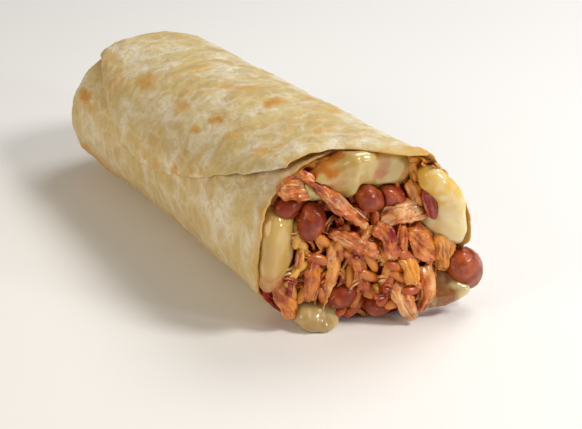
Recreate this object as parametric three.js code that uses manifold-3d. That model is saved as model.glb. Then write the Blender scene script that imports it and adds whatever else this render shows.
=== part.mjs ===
// A flour-tortilla burrito, lying on its side: closed and tucked at one end, open at the other, where
// its filling of rice, pinto beans, pulled chicken and melted cheese shows and spills forward a little.
//
// Millimetres, +Z up. +X runs along the roll to the open end, -Y is the side where the flap ends.
// Angles go round the roll: 0 is +Y, 90 is the top, 180 is -Y and 270 is the bottom.
// The origin is on the surface that the burrito lies on, under the middle of its bounding box.

import * as THREE from 'three';
import { mergeVertices } from 'three/addons/utils/BufferGeometryUtils.js';
import Module from 'manifold-3d';

const wasm = await Module();
wasm.setup();

// ---- driving dimensions -------------------------------------------------------------------------

const BOX_CENTRE = [1.945, 4.727]; // where the middle of the bounding box falls along and across the roll

const CLOSED_END = -83.4; // the tip of the closed end, along the roll
const OPEN_END = 79; // the mean depth of the opening, along the roll
const HALF_WIDTH = { closed: 31.8, middle: 29.2, open: 32 };
const HALF_HEIGHT = { closed: 23.5, middle: 26.5, open: 29.2 };
const SWAY = { closed: -0.3, middle: 0.6, open: -0.5 }; // how far the roll's middle line is off to +Y
const ROUNDNESS = 2.25; // the superellipse power of the cross-section
const FLAT_DEPTH = 1.3; // how far the roll has settled onto the surface under it
const END_LENGTH = 16; // the length over which the closed end rounds off
const END_POWER = 2.1;
const END_MIDDLE = 0.9; // the height of the closed end's tip, as a share of the half height
const PLEATS = [28, 152, 268]; // the angles of the folds that are tucked in at the closed end
const PLEAT_DEPTH = 1.3;
const PLEAT_SPREAD = 9; // degrees to either side

const LUMP_HEIGHT = 0.5; // the unevenness that the filling gives the roll
const LUMP_LENGTH = 11;

const SHEET = 1.8; // the thickness of the tortilla
const GAP = 0.35; // the clearance between neighbouring pieces of the filling
const RIM_GAP = 0.55; // and from them to the tortilla, whose rims have square edges

// The rims of the inner and outer turn of the tortilla at the open end: [angle, depth along the roll].
const INNER_RIM = [
  [0, 77], [20, 75], [45, 72], [70, 72], [82, 70], [95, 67], [110, 66.4], [130, 67], [150, 67],
  [175, 68], [190, 67], [203, 63.5], [218, 59.5], [240, 58], [270, 60], [300, 65], [328, 70], [345, 75],
];
const OUTER_RIM = [
  [0, 86], [20, 82.8], [38, 78.4], [48, 79.6], [57, 82.8], [68, 82.4], [80, 79.5], [88, 73.4], [98, 68.8],
  [112, 67], [180, 66], [260, 64], [300, 67], [328, 73], [345, 80],
];

// The flap is the round outer edge of the tortilla, brought over the top and down the -Y side. Its free
// edge, from the closed end to the opening: [depth along the roll, the angle that it reaches down to].
const FLAP_EDGE = [
  [-79, 106], [-73, 118], [-63, 130], [-54, 141], [-46, 151], [-37, 163.5], [-25, 174.5], [-13, 178.4],
  [0, 175.5], [12, 170], [22, 165], [31, 159.5], [40, 151.5], [50, 144.5], [58, 137.5], [65, 131], [70, 124],
];
const FLAP_START = -62; // where the outer turn leaves the inner one, low on the +Y side
const FLAP_LIFT = 1.9; // how far its edge stands off the inner turn next to the opening
const FLAP_LIFTS = [30, 64]; // it rises between these depths along the roll
const TORN_TIP = { angle: 58, spread: 9, lift: 2, from: 74, to: 82 }; // the torn corner that curls off the roll
const FLAP_BED = 0.25; // how far the outer turn sits off the inner one's surface
const FLAP_ROOT = 0.3; // how deep the outer turn is grown into the inner one

const FACE_DEPTH = 70; // the filling's bare face in the middle of the opening
const FACE_SLANT = 0.2; // how much further forward it is for each millimetre towards +Y
const FACE_BULGE = 2.6; // how far it swells forward in the middle
const SPILL = { across: 17, up: 11, wide: 12, high: 14, out: 7.5 }; // where it spills forward furthest
const SWELL_LENGTH = 2.6; // past the rim, the filling swells out over this length

const COLOURS = {
  tortilla: 0xdcc69a,
  rice: 0xcf8a3c,
  bean: 0x8a3d26,
  chicken: 0xb5673a,
  cheese: 0xd8b878,
};

// ---- small helpers ------------------------------------------------------------------------------

const clamp = THREE.MathUtils.clamp;
const lerp = THREE.MathUtils.lerp;
const smooth = THREE.MathUtils.smoothstep;
const radians = THREE.MathUtils.degToRad;
const signedPower = (value, power) => Math.sign(value) * Math.abs(value) ** power;

// A repeatable random source, so that every build gives the same burrito.
function randomSource(seed) {
  let state = seed;
  return () => {
    state = (state * 1664525 + 1013904223) % 4294967296;
    return state / 4294967296;
  };
}

// A soft, repeatable unevenness between -1 and 1.
function unevenness(x, y, z) {
  const slow = Math.sin(x * 0.9 + 1.3 * Math.sin(y * 0.7 + 0.5)) * Math.cos(z * 0.8 + 0.6 * Math.sin(x));
  const quick = Math.sin(y * 2.1 + 0.7 * z) * Math.sin(x * 1.7 - z * 1.1 + 2);
  return 0.65 * slow + 0.35 * quick;
}

// A smooth curve through stations, which are given as [place, value] in order.
function through(stations, place) {
  const last = stations.length - 1;
  let after = 1;
  while (after < last && stations[after][0] < place) after += 1;
  const [p0, p1, p2, p3] = [-2, -1, 0, 1].map((step) => stations[clamp(after + step, 0, last)]);
  const span = p2[0] - p1[0];
  const slope1 = (span * (p2[1] - p0[1])) / (p2[0] - p0[0]);
  const slope2 = (span * (p3[1] - p1[1])) / (p3[0] - p1[0]);
  const t = clamp((place - p1[0]) / span, 0, 1);
  const t2 = t * t;
  const t3 = t2 * t;
  const leaving = (2 * t3 - 3 * t2 + 1) * p1[1] + (t3 - 2 * t2 + t) * slope1;
  const arriving = (3 * t2 - 2 * t3) * p2[1] + (t3 - t2) * slope2;
  return leaving + arriving;
}

// The depth of a rim at an angle: its stations go on round and round.
function rimDepth(rim, angle) {
  const laps = [-360, 0, 360].flatMap((turned) => rim.map(([at, depth]) => [at + turned, depth]));
  return through(laps, ((angle % 360) + 360) % 360);
}

// ---- the form of the roll -----------------------------------------------------------------------

// A quadratic through the closed end's, the middle's and the open end's value.
function alongRoll({ closed, middle, open }, x) {
  const t = clamp((x - CLOSED_END) / (OPEN_END - CLOSED_END), 0, 1);
  return closed * (1 - t) * (1 - 2 * t) + 4 * middle * t * (1 - t) + open * t * (2 * t - 1);
}

// How far the section has opened out from the tip of the closed end, from 0 to 1.
function endOpening(x, inset) {
  const along = clamp((x - CLOSED_END - inset) / END_LENGTH, 0, 1);
  return (1 - (1 - along) ** END_POWER) ** (1 / END_POWER);
}

// The hollows of the tucked folds, which run out along the roll.
function pleat(x, angle) {
  const near = (fold) => ((angle - fold + 540) % 360) - 180;
  const hollow = PLEATS.reduce((sum, fold) => sum + Math.exp(-((near(fold) / PLEAT_SPREAD) ** 2)), 0);
  return PLEAT_DEPTH * hollow * (1 - smooth(x, CLOSED_END + 3, CLOSED_END + 22));
}

// The point of the roll at a depth and an angle, moved inwards by inset.
function rollPoint(x, angle, inset = 0) {
  const turn = radians(angle);
  const halfHeight = alongRoll(HALF_HEIGHT, x);
  const lump = unevenness(x / LUMP_LENGTH, 2.2 * Math.cos(turn), 2.2 * Math.sin(turn));
  const inwards = inset - LUMP_HEIGHT * lump * smooth(x, CLOSED_END, -40) + pleat(x, angle);
  const across = signedPower(Math.cos(turn), 2 / ROUNDNESS) * (alongRoll(HALF_WIDTH, x) - inwards);
  const up = signedPower(Math.sin(turn), 2 / ROUNDNESS) * (halfHeight - inwards);
  const opening = endOpening(x, inset);
  const middle = lerp(halfHeight * END_MIDDLE, halfHeight - FLAT_DEPTH, opening);
  const y = across * opening ** 0.8 + alongRoll(SWAY, x);
  const z = Math.max(middle + up * opening, inset, 0);
  return new THREE.Vector3(x, y, z);
}

// Depths along the roll from the tip of the closed end to a rim, packed closely where the end rounds off.
function depths(from, to, count) {
  return Array.from({ length: count }, (_, i) => lerp(from, to, ((i + 1) / count) ** 1.45));
}

// ---- solids -------------------------------------------------------------------------------------

// One closed solid from a list of points and triangles, turned to face outwards.
function solidFrom(points, triangles) {
  const geometry = new THREE.BufferGeometry().setFromPoints(points);
  geometry.setIndex(triangles.flat());
  const merged = mergeVertices(geometry, 1e-4);
  const vertProperties = Float32Array.from(merged.attributes.position.array);
  const triVerts = Uint32Array.from(merged.index.array);
  const corner = (i) => new THREE.Vector3().fromArray(vertProperties, 3 * triVerts[i]);
  let volume = 0;
  for (let i = 0; i < triVerts.length; i += 3) volume += corner(i).dot(corner(i + 1).cross(corner(i + 2)));
  if (volume < 0) triVerts.reverse();
  return new wasm.Manifold(new wasm.Mesh({ numProp: 3, vertProperties, triVerts }));
}

function geometryOf(solid) {
  const mesh = solid.getMesh();
  const geometry = new THREE.BufferGeometry();
  geometry.setAttribute('position', new THREE.BufferAttribute(Float32Array.from(mesh.vertProperties), 3));
  geometry.setIndex(new THREE.BufferAttribute(Uint32Array.from(mesh.triVerts), 1));
  geometry.computeVertexNormals();
  return geometry;
}

// The same solid with its skin moved outwards: the pocket that it needs in its neighbours.
function swollen(solid, by) {
  const { attributes, index } = geometryOf(solid);
  const vertProperties = attributes.position.array.map((value, i) => value + by * attributes.normal.array[i]);
  return new wasm.Manifold(new wasm.Mesh({ numProp: 3, vertProperties, triVerts: index.array }));
}

// A skin through closed rings of points, drawn together to one point at either end.
function loft(rings, firstTip, lastTip) {
  const count = rings[0].length;
  const points = [firstTip, ...rings.flat(), lastTip];
  const at = (ring, i) => 1 + ring * count + (i % count);
  const triangles = [];
  for (let i = 0; i < count; i++) {
    triangles.push([0, at(0, i + 1), at(0, i)]);
    for (let ring = 0; ring + 1 < rings.length; ring++) {
      const [a, b, c, d] = [at(ring, i), at(ring, i + 1), at(ring + 1, i), at(ring + 1, i + 1)];
      triangles.push([a, b, c], [b, d, c]);
    }
    triangles.push([points.length - 1, at(rings.length - 1, i), at(rings.length - 1, i + 1)]);
  }
  return solidFrom(points, triangles);
}

// A sheet between an outer and an inner grid of points, closed along its four edges.
function sheetSolid(outer, inner) {
  const [rows, columns] = [outer.length, outer[0].length];
  const points = [...outer.flat(), ...inner.flat()];
  const top = (i, j) => i * columns + j;
  const under = (i, j) => rows * columns + i * columns + j;
  const triangles = [];
  const quad = (a, b, c, d) => triangles.push([a, b, c], [a, c, d]);
  for (let i = 0; i + 1 < rows; i++) {
    for (let j = 0; j + 1 < columns; j++) {
      quad(top(i, j), top(i + 1, j), top(i + 1, j + 1), top(i, j + 1));
      quad(under(i, j), under(i, j + 1), under(i + 1, j + 1), under(i + 1, j));
    }
    quad(top(i, 0), under(i, 0), under(i + 1, 0), top(i + 1, 0));
    quad(top(i, columns - 1), top(i + 1, columns - 1), under(i + 1, columns - 1), under(i, columns - 1));
  }
  for (let j = 0; j + 1 < columns; j++) {
    quad(top(0, j), top(0, j + 1), under(0, j + 1), under(0, j));
    quad(top(rows - 1, j), under(rows - 1, j), under(rows - 1, j + 1), top(rows - 1, j + 1));
  }
  return solidFrom(points, triangles);
}

const OUTWARDS = new THREE.Vector3(1, 0, 0.3); // the way that a strip's flat side faces

// A tapered, slightly twisted strip along a curve: a pulled piece of meat, or a grain if it is short.
function strip({ path, width, thick, tip = 0.3, turn = 0, twist = 0, sides = 6, steps = 6 }) {
  const curve = new THREE.CatmullRomCurve3(path);
  const rings = [];
  for (let k = 0; k < steps; k++) {
    const t = k / (steps - 1);
    const centre = curve.getPointAt(lerp(0.06, 0.94, t));
    const forward = curve.getTangentAt(lerp(0.06, 0.94, t));
    const level = OUTWARDS.clone().addScaledVector(forward, -OUTWARDS.dot(forward)).normalize();
    const aside = new THREE.Vector3().crossVectors(forward, level);
    const fullness = lerp(tip, 1, Math.sin(Math.PI * lerp(0.12, 0.88, t)) ** 0.8);
    const ring = [];
    for (let s = 0; s < sides; s++) {
      const round = (2 * Math.PI * s) / sides;
      const wide = (width / 2) * fullness * Math.cos(round);
      const deep = (thick / 2) * fullness * Math.sin(round);
      const lean = radians(turn + twist * (t - 0.5));
      const point = centre.clone();
      point.addScaledVector(aside, wide * Math.cos(lean) - deep * Math.sin(lean));
      point.addScaledVector(level, wide * Math.sin(lean) + deep * Math.cos(lean));
      ring.push(point);
    }
    rings.push(ring);
  }
  return loft(rings, curve.getPointAt(0), curve.getPointAt(1));
}

// A bean: an egg-like body with a slight hollow along one side.
function beanSolid({ at, long, wide, thick, turn = 0, lean = 0, roll = 0 }) {
  const spin = new THREE.Euler(radians(turn), radians(lean), radians(roll), 'XYZ');
  const placing = new THREE.Matrix4().makeRotationFromEuler(spin).setPosition(onFace(at));
  const [rings, sides] = [6, 10];
  const point = (latitude, s) => {
    const round = (2 * Math.PI * s) / sides;
    const slim = Math.sin(latitude) ** 0.9;
    const hollow = 0.12 * Math.sin(latitude) ** 2;
    const y = -Math.cos(latitude) * (long / 2);
    const x = slim * Math.cos(round) * (thick / 2);
    const z = (slim * Math.sin(round) - hollow) * (wide / 2);
    return new THREE.Vector3(x, y, z).applyMatrix4(placing);
  };
  const bands = Array.from({ length: rings }, (_, k) => {
    const latitude = (Math.PI * (k + 1)) / (rings + 1);
    return Array.from({ length: sides }, (_, s) => point(latitude, s));
  });
  return loft(bands, point(0, 0), point(Math.PI, 0));
}

// ---- the tortilla -------------------------------------------------------------------------------

// The inner turn: a cup from the tip of the closed end to its rim.
function innerTurn() {
  const sides = 42;
  const angles = Array.from({ length: sides }, (_, s) => (360 * s) / sides);
  const rings = (count, inset) => Array.from({ length: count }, (_, k) => angles.map((angle) => {
    return rollPoint(depths(CLOSED_END + inset, rimDepth(INNER_RIM, angle), count)[k], angle, inset);
  }));
  const tip = (inset) => rollPoint(CLOSED_END + inset, 0, inset);
  return loft([...rings(23, 0), ...rings(9, SHEET).reverse()], tip(0), tip(SHEET));
}

// How far the torn corner of the outer turn's rim curls off the roll.
function tipLift(x, angle) {
  const { angle: middle, spread, lift, from, to } = TORN_TIP;
  return lift * Math.exp(-(((angle - middle) / spread) ** 2)) * smooth(x, from, to);
}

// The outer turn: it leaves the inner one low on the +Y side and ends in the flap's free edge.
function outerTurn() {
  const [rows, columns] = [20, 24];
  const grid = (raise) => Array.from({ length: rows }, (_, i) => {
    const u = i / (rows - 1);
    const edge = through(FLAP_EDGE, lerp(FLAP_EDGE[0][0], FACE_DEPTH, u));
    return Array.from({ length: columns }, (_, j) => {
      const v = j / (columns - 1);
      const angle = lerp(FLAP_START, edge, v);
      const x = lerp(FLAP_EDGE[0][0], rimDepth(OUTER_RIM, angle), u);
      const lift = FLAP_LIFT * smooth(v, 0.8, 1) * smooth(x, ...FLAP_LIFTS) + tipLift(x, angle);
      const settle = smooth(v, 0, 0.12);
      return rollPoint(x, angle, -raise * settle - lift - FLAP_BED * settle);
    });
  });
  return sheetSolid(grid(SHEET), grid(-FLAP_BED - FLAP_ROOT));
}

// ---- the filling --------------------------------------------------------------------------------

// How far forward the filling's bare face is.
function faceDepth(across, up) {
  const middle = HALF_HEIGHT.open - FLAT_DEPTH;
  const share = (across / HALF_WIDTH.open) ** 2 + ((up - middle) / middle) ** 2;
  const [aside, above] = [(across - SPILL.across) / SPILL.wide, (up - SPILL.up) / SPILL.high];
  const spill = Math.exp(-(aside ** 2) - above ** 2);
  return FACE_DEPTH + FACE_SLANT * across + FACE_BULGE * (1 - share) + SPILL.out * spill;
}

// A place in the opening, given as the distances across, up and out from the filling's face.
const onFace = ([across, up, out]) => new THREE.Vector3(faceDepth(across, up) + out, across, up);

// How far inside the roll's own outline the filling has to stay: the tortilla's thickness, up to its rim.
function fillingInset(x, angle) {
  const rim = rimDepth(INNER_RIM, angle);
  return lerp(SHEET + 2 * RIM_GAP, GAP, smooth(x, rim + 2 * GAP, rim + SWELL_LENGTH));
}

// Each bean's middle as a place on the face, its size, and how it is turned about X, Y and Z.
const BEANS = {
  bean_front: { at: [-14.6, 36.8, 1.4], long: 12.4, wide: 9.2, thick: 8.2, turn: 78, lean: 8 },
  bean_behind: { at: [-19.4, 42, -0.6], long: 11.4, wide: 7.6, thick: 7.2, turn: 8, roll: 12 },
  bean_top: { at: [3.6, 42.2, 1.8], long: 10.6, wide: 7.9, thick: 7.6, turn: -42 },
  bean_top_right: { at: [11.4, 41, 0.2], long: 10, wide: 7, thick: 7, turn: -28 },
  bean_corner: { at: [22.8, 44.4, 0.8], long: 6.8, wide: 6, thick: 5.6, turn: 70 },
  bean_right: { at: [33.6, 13.8, 5], long: 17.4, wide: 11.6, thick: 10.6, turn: 122, roll: -10 },
  bean_low: { at: [-4, 10.2, 0.8], long: 10.6, wide: 7.4, thick: 7, turn: 18 },
  bean_deep: { at: [2.2, 24.4, -2.4], long: 11.5, wide: 8, thick: 7.6, turn: 10 },
  bean_bottom: { at: [7.2, 5.4, -0.6], long: 9.6, wide: 7.4, thick: 7.2, turn: -8 },
};

// Each pulled piece of chicken: the places on the face that it follows, its width and its thickness.
const CHICKEN = {
  chicken_long: {
    path: [[-17.6, 53.6, 3], [-10.8, 46.2, 5], [-3.8, 38.4, 4.6], [2.4, 32.8, 2]],
    width: 4.8, thick: 3, tip: 0.12, turn: 20, steps: 8,
  },
  chicken_chunk: {
    path: [[-23.4, 45.8, 1], [-19.6, 47.6, 2], [-13.4, 47, 1.2]],
    width: 8.4, thick: 4.6, tip: 0.5, twist: 30,
  },
  chicken_shadow: {
    path: [[-9, 43, 0.5], [-2, 37.8, 1], [3.8, 35.6, 0.5]],
    width: 5, thick: 3.2, tip: 0.4,
  },
  chicken_crust: {
    path: [[-9, 33, 1.5], [-2.8, 29, 3], [3, 25.4, 2.8], [7.2, 22, 1]],
    width: 5.6, thick: 2.6, tip: 0.3, turn: -14, twist: 30, steps: 8,
  },
  chicken_light: {
    path: [[6.6, 34.2, 1.6], [13.6, 36.6, 3], [21.2, 34.4, 1.8]],
    width: 7, thick: 3, tip: 0.3, turn: 10,
  },
  chicken_curl: {
    path: [[4.8, 32.8, 1.4], [8.2, 30, 3], [8.8, 26, 3], [11.2, 23, 1.6]],
    width: 6, thick: 3.8, tip: 0.5, steps: 7,
  },
  chicken_fold: {
    path: [[13, 31.8, 1.6], [12.6, 27.4, 2.6], [13.6, 24, 1.4]],
    width: 4, thick: 3, tip: 0.5,
  },
  chicken_wide: {
    path: [[16.2, 30.2, 1.2], [19.6, 25.6, 1.8], [24, 20.4, 0.8]],
    width: 9.6, thick: 3.4, tip: 0.7, turn: 15,
  },
  chicken_frayed: {
    path: [[25, 27.5, 2.2], [27, 21.4, 2.6], [28, 14.6, 2]],
    width: 8, thick: 7, tip: 0.6,
  },
  chicken_hanging: {
    path: [[20.2, 18.4, 0], [19.6, 12.6, 1.4], [19, 7.6, 2.2], [17.6, 3, 2.8]],
    width: 5.4, thick: 3.4, tip: 0.5, twist: 20, steps: 8,
  },
  chicken_leg: {
    path: [[10.4, 14.4, 0], [12.2, 8, 2.4], [14.8, 1.9, 6.2]],
    width: 6.2, thick: 3, tip: 0.4, turn: -10,
  },
  chicken_block: {
    path: [[13.6, 21.8, -0.6], [15, 17.8, 0.2], [15.2, 13.2, -0.4]],
    width: 6.8, thick: 4.6, tip: 0.75, turn: 30,
  },
  chicken_upright: {
    path: [[-8.2, 30, 1], [-8.2, 18.6, 1.8], [-9.6, 8, 1.2]],
    width: 3.4, thick: 3, tip: 0.5,
  },
  chicken_crumb: {
    path: [[-13.4, 24.2, 0.6], [-13.6, 17.2, 1.6], [-14.6, 9.8, 1]],
    width: 5, thick: 3.6, tip: 0.6,
  },
  chicken_corner: {
    path: [[-23.4, 17, -0.4], [-20.8, 10.2, 1], [-18.2, 4.6, 0.8]],
    width: 6.6, thick: 4.4, tip: 0.5,
  },
  chicken_ribbed: {
    path: [[-4.2, 26.2, 0.8], [-0.4, 22.4, 1.6], [1.4, 17.2, 1]],
    width: 4, thick: 3.4, tip: 0.55,
  },
  chicken_red: {
    path: [[20.4, 42.6, 3.6], [21.6, 38.2, 4.6], [22.4, 33.6, 3.8]],
    width: 4.2, thick: 3.4, tip: 0.5,
  },
  chicken_gold: {
    path: [[16.8, 53.2, 1], [18.6, 47.8, 1.6], [18.8, 43.6, 1]],
    width: 3.6, thick: 2.6, tip: 0.5, turn: 25,
  },
  chicken_slice: {
    path: [[17, 44.6, 1], [18.6, 39.8, 2], [19, 35, 1.2]],
    width: 5, thick: 2.8, tip: 0.6,
  },
};

const chickenSolid = (spec) => strip({ ...spec, path: spec.path.map(onFace) });

// Melted cheese between the filling and the tortilla: where it lies round the roll (angle and half its
// spread), how thick it is there, how far it wells up past the filling's face, and where it sags to.
const CHEESE = {
  cheese_left: { angle: 177, spread: 33, thick: 11.5, out: 3.5, sag: [0, 0] },
  cheese_top: { angle: 87, spread: 46, thick: 12.5, out: 4, sag: [0, 0] },
  cheese_right: { angle: 16, spread: 34, thick: 7.6, out: 8.5, sag: [0, 0] },
  cheese_low_left: { angle: 248, spread: 16, thick: 8, out: 5.4, sag: [0.6, -1.8] },
  cheese_low_right: { angle: 314, spread: 17, thick: 6.4, out: 4.5, sag: [10.6, 0.4] },
};
const CHEESE_START = -58; // how deep in the roll the cheese begins
// The strand's size along it: [distance ahead of its root or behind its front end, share of full size].
const CHEESE_ROOT = [[0.8, 0.2], [4, 0.42], [40, 0.5], [80, 0.5]];
const CHEESE_BODY = [[24, 0.5], [12, 0.85], [7, 1], [4, 0.94], [1.8, 0.74], [0.5, 0.42]];

// A strand of cheese along the roll, against the inner turn, swelling out at the opening.
function cheeseSolid({ angle, spread, thick, out, sag }) {
  const sides = 10;
  const middle = rollPoint(FACE_DEPTH, angle, SHEET + thick / 2);
  const end = faceDepth(middle.y, middle.z) + out;
  const place = (x, size, s) => {
    const round = (2 * Math.PI * s) / sides;
    const turned = angle + signedPower(Math.cos(round), 0.8) * spread * size;
    const deep = 0.5 + 0.5 * signedPower(Math.sin(round), 0.8);
    const bed = fillingInset(x, turned) + (thick * (1 - size)) / 3;
    const point = rollPoint(x, turned, bed + thick * size * deep);
    const sagging = smooth(x, end - out - 5, end);
    point.y += sag[0] * sagging;
    point.z = Math.max(point.z + sag[1] * sagging, GAP);
    return point;
  };
  const ring = (x, size) => Array.from({ length: sides }, (_, s) => place(x, size, s));
  const hidden = CHEESE_ROOT.map(([ahead, size]) => ring(CHEESE_START + ahead, size));
  const shown = CHEESE_BODY.map(([behind, size]) => ring(end - behind, size));
  return loft([...hidden, ...shown], place(CHEESE_START, 0, 0), place(end, 0, 0));
}

// The larger grains of rice on the face: [across, up, turn about the roll's axis, forward lean].
const PLACED_RICE = [
  [-23.4, 22.6, 15, 0], [-24, 18.6, 5, 0], [-19.6, 18.8, 60, 10], [-17.6, 30.2, -50, 0],
  [-17.4, 25, 80, 0], [-4, 4.4, 55, 12], [3.2, 31, 20, 20], [24.6, 3.6, -10, 0],
  [28.4, 23.6, -40, 10], [27.4, 15.4, 75, 0], [7.8, 16.4, 88, 12], [5.4, 10.6, 8, 12],
  [0.4, 15.2, -70, 10], [11, 10.5, 60, 10], [21.4, 30, -30, 5],
];
const RICE = { long: 8, wide: 2.9, bow: 0.35 };
const LOOSE_RICE = 8; // further grains scattered over the bare face
const GRAIN_OVERLAP = 4; // a grain that shares more of its volume than this with other pieces is left out

// A grain of rice lying on the filling's face.
function grainSolid(across, up, turn, lean, out = 0.6) {
  const spin = new THREE.Euler(radians(turn), 0, radians(lean), 'XYZ');
  const reach = new THREE.Vector3(0, RICE.long / 2, 0).applyEuler(spin);
  const middle = onFace([across, up, out]);
  const bowed = middle.clone().add(new THREE.Vector3(RICE.bow, 0, 0));
  const path = [middle.clone().sub(reach), bowed, middle.clone().add(reach)];
  return strip({ path, width: RICE.wide, thick: RICE.wide * 0.9, tip: 0.55, sides: 5, steps: 3 });
}

// The rice that holds the filling together: a core from end to end of the roll with an uneven front.
function riceCore() {
  const sides = 24;
  const angles = Array.from({ length: sides }, (_, s) => (360 * s) / sides);
  const back = CLOSED_END + SHEET + 4;
  const stations = [0.02, 0.07, 0.14, 0.5, 0.88, 0.94, 1];
  const body = stations.map((share) => angles.map((angle) => {
    const { y, z } = rollPoint(FACE_DEPTH, angle);
    const x = lerp(back, faceDepth(y, z) - 1, share);
    return rollPoint(x, angle, fillingInset(x, angle) + GAP);
  }));
  const edge = body[body.length - 1];
  const middle = onFace([SWAY.open, HALF_HEIGHT.open - FLAT_DEPTH, 0]);
  const front = [0.82, 0.58, 0.3].map((share) => edge.map((outer) => {
    const place = outer.clone().lerp(middle, 1 - share);
    return onFace([place.y, place.z, 1.2 * unevenness(0, place.y / 3, place.z / 3)]);
  }));
  return loft([...body, ...front], rollPoint(back, 0, SHEET + 2 * RIM_GAP), middle);
}

// ---- assembly -----------------------------------------------------------------------------------

// The largest piece of a solid that cutting has left in several.
function largestPiece(solid) {
  return solid.decompose().sort((a, b) => b.volume() - a.volume())[0];
}

// The filling's pieces, each cut clear of the ones before it, which lie in front.
function fillingSolids(pocket) {
  const pieces = [
    ...Object.entries(BEANS).map(([name, spec]) => [name, 'bean', beanSolid(spec)]),
    ...Object.entries(CHICKEN).map(([name, spec]) => [name, 'chicken', chickenSolid(spec)]),
    ...Object.entries(CHEESE).map(([name, spec]) => [name, 'cheese', cheeseSolid(spec)]),
  ];
  let taken = pocket;
  const made = pieces.map(([name, kind, whole]) => {
    const solid = largestPiece(whole.subtract(taken));
    taken = taken.add(swollen(whole, GAP));
    return [name, kind, solid];
  });

  const random = randomSource(11);
  const placed = PLACED_RICE.map(([across, up, turn, lean]) => grainSolid(across, up, turn, lean));
  const loose = Array.from({ length: LOOSE_RICE }, () => {
    const [round, far] = [2 * Math.PI * random(), Math.sqrt(random())];
    const across = Math.cos(round) * far * (HALF_WIDTH.open - 6);
    const up = HALF_HEIGHT.open + Math.sin(round) * far * (HALF_HEIGHT.open - 6);
    return grainSolid(across, up, 180 * random(), 30 * random() - 15, 0.6 - 1.4 * random());
  });
  const clear = [...placed, ...loose].filter((grain) => grain.intersect(taken).volume() < GRAIN_OVERLAP);
  const rice = wasm.Manifold.union([riceCore(), ...clear]).subtract(taken);
  return [...made, ['rice', 'rice', largestPiece(rice)]];
}

const ROUGHNESS = { tortilla: 0.85, rice: 0.45, bean: 0.3, chicken: 0.55, cheese: 0.25 };

function meshOf(name, kind, solid) {
  const material = new THREE.MeshStandardMaterial({ color: COLOURS[kind], roughness: ROUGHNESS[kind] });
  const mesh = new THREE.Mesh(geometryOf(solid), material);
  mesh.name = name;
  return mesh;
}

const turns = [innerTurn(), outerTurn()];
const tortilla = wasm.Manifold.union(turns);
const pocket = wasm.Manifold.union(turns.map((turn) => swollen(turn, RIM_GAP)));

const burrito = new THREE.Group();
burrito.add(meshOf('tortilla', 'tortilla', largestPiece(tortilla)));
for (const [name, kind, solid] of fillingSolids(pocket)) burrito.add(meshOf(name, kind, solid));
burrito.position.set(-BOX_CENTRE[0], -BOX_CENTRE[1], 0);

export default burrito;
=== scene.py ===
import itertools
import math

import bpy
import numpy as np
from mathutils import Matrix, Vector
from mathutils.bvhtree import BVHTree


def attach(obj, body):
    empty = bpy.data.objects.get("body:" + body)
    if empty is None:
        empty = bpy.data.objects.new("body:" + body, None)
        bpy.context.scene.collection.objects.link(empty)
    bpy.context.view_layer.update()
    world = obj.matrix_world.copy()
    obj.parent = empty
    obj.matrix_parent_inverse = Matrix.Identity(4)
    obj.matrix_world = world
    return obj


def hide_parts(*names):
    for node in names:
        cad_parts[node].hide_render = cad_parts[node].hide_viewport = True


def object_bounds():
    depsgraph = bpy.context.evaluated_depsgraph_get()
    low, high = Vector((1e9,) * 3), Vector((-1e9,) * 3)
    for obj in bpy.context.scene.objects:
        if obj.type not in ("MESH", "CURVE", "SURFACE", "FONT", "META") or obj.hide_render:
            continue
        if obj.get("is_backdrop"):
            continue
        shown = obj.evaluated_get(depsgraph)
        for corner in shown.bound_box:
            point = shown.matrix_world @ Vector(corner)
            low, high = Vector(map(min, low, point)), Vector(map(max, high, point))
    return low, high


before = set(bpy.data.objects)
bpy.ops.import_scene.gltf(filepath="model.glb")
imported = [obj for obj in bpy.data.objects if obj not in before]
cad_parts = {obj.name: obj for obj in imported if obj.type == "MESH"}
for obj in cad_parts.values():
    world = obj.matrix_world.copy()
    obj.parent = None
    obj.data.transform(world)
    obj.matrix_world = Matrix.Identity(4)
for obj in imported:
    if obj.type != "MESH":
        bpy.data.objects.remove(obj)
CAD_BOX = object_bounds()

bl_info = {
    "name": "Burrito",
    "version": (1, 0, 0),
    "blender": (4, 5, 0),
    "location": "View3D > Sidebar > Burrito",
    "description": "A burrito's looks: toasted tortilla, melted cheese, beans, pulled chicken and rice",
    "category": "Object",
}

# Lengths in this file are millimetres until a mesh is made, which is in metres.
MM = 0.001

# ---- the form of the roll, from the same named values as its solids ------------------------------

# x runs along the roll to its open end, y across it and z up. An angle round the roll is in degrees from
# +y towards the top. A section of the roll is a superellipse.
BOX_CENTRE = np.array([1.945, 4.727, 0.0])  # the middle of the box, in the roll's own frame
CLOSED_END = -83.4
OPEN_END = 79.0
HALF_WIDTH = (31.8, 29.2, 32.0)  # at the closed end, the middle and the open end
HALF_HEIGHT = (23.5, 26.5, 29.2)
SWAY = (-0.3, 0.6, -0.5)
ROUNDNESS = 2.25  # the superellipse's power
FLAT_DEPTH = 1.3  # how far the roll has settled onto the surface under it
# The closed end rounds off over its first millimetres, with soft pleats.
END_LENGTH = 16.0
END_POWER = 2.1
END_MIDDLE = 0.9  # the height of its tip, as a share of half the roll's
END_WIDENING = 0.8  # less than 1, as its width opens sooner than its height
PLEATS = (28.0, 152.0, 268.0)  # their angles round the roll
PLEAT_DEPTH = 1.3
PLEAT_SPREAD = 9.0
PLEAT_FADE = (3.0, 22.0)  # from the closed end
# The filling makes the roll a little lumpy.
LUMP_HEIGHT = 0.5
LUMP_LENGTH = 11.0
LUMPS_ROUND = 2.2  # how quickly they change round the roll
LUMPS_FULL_FROM = -40.0
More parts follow.
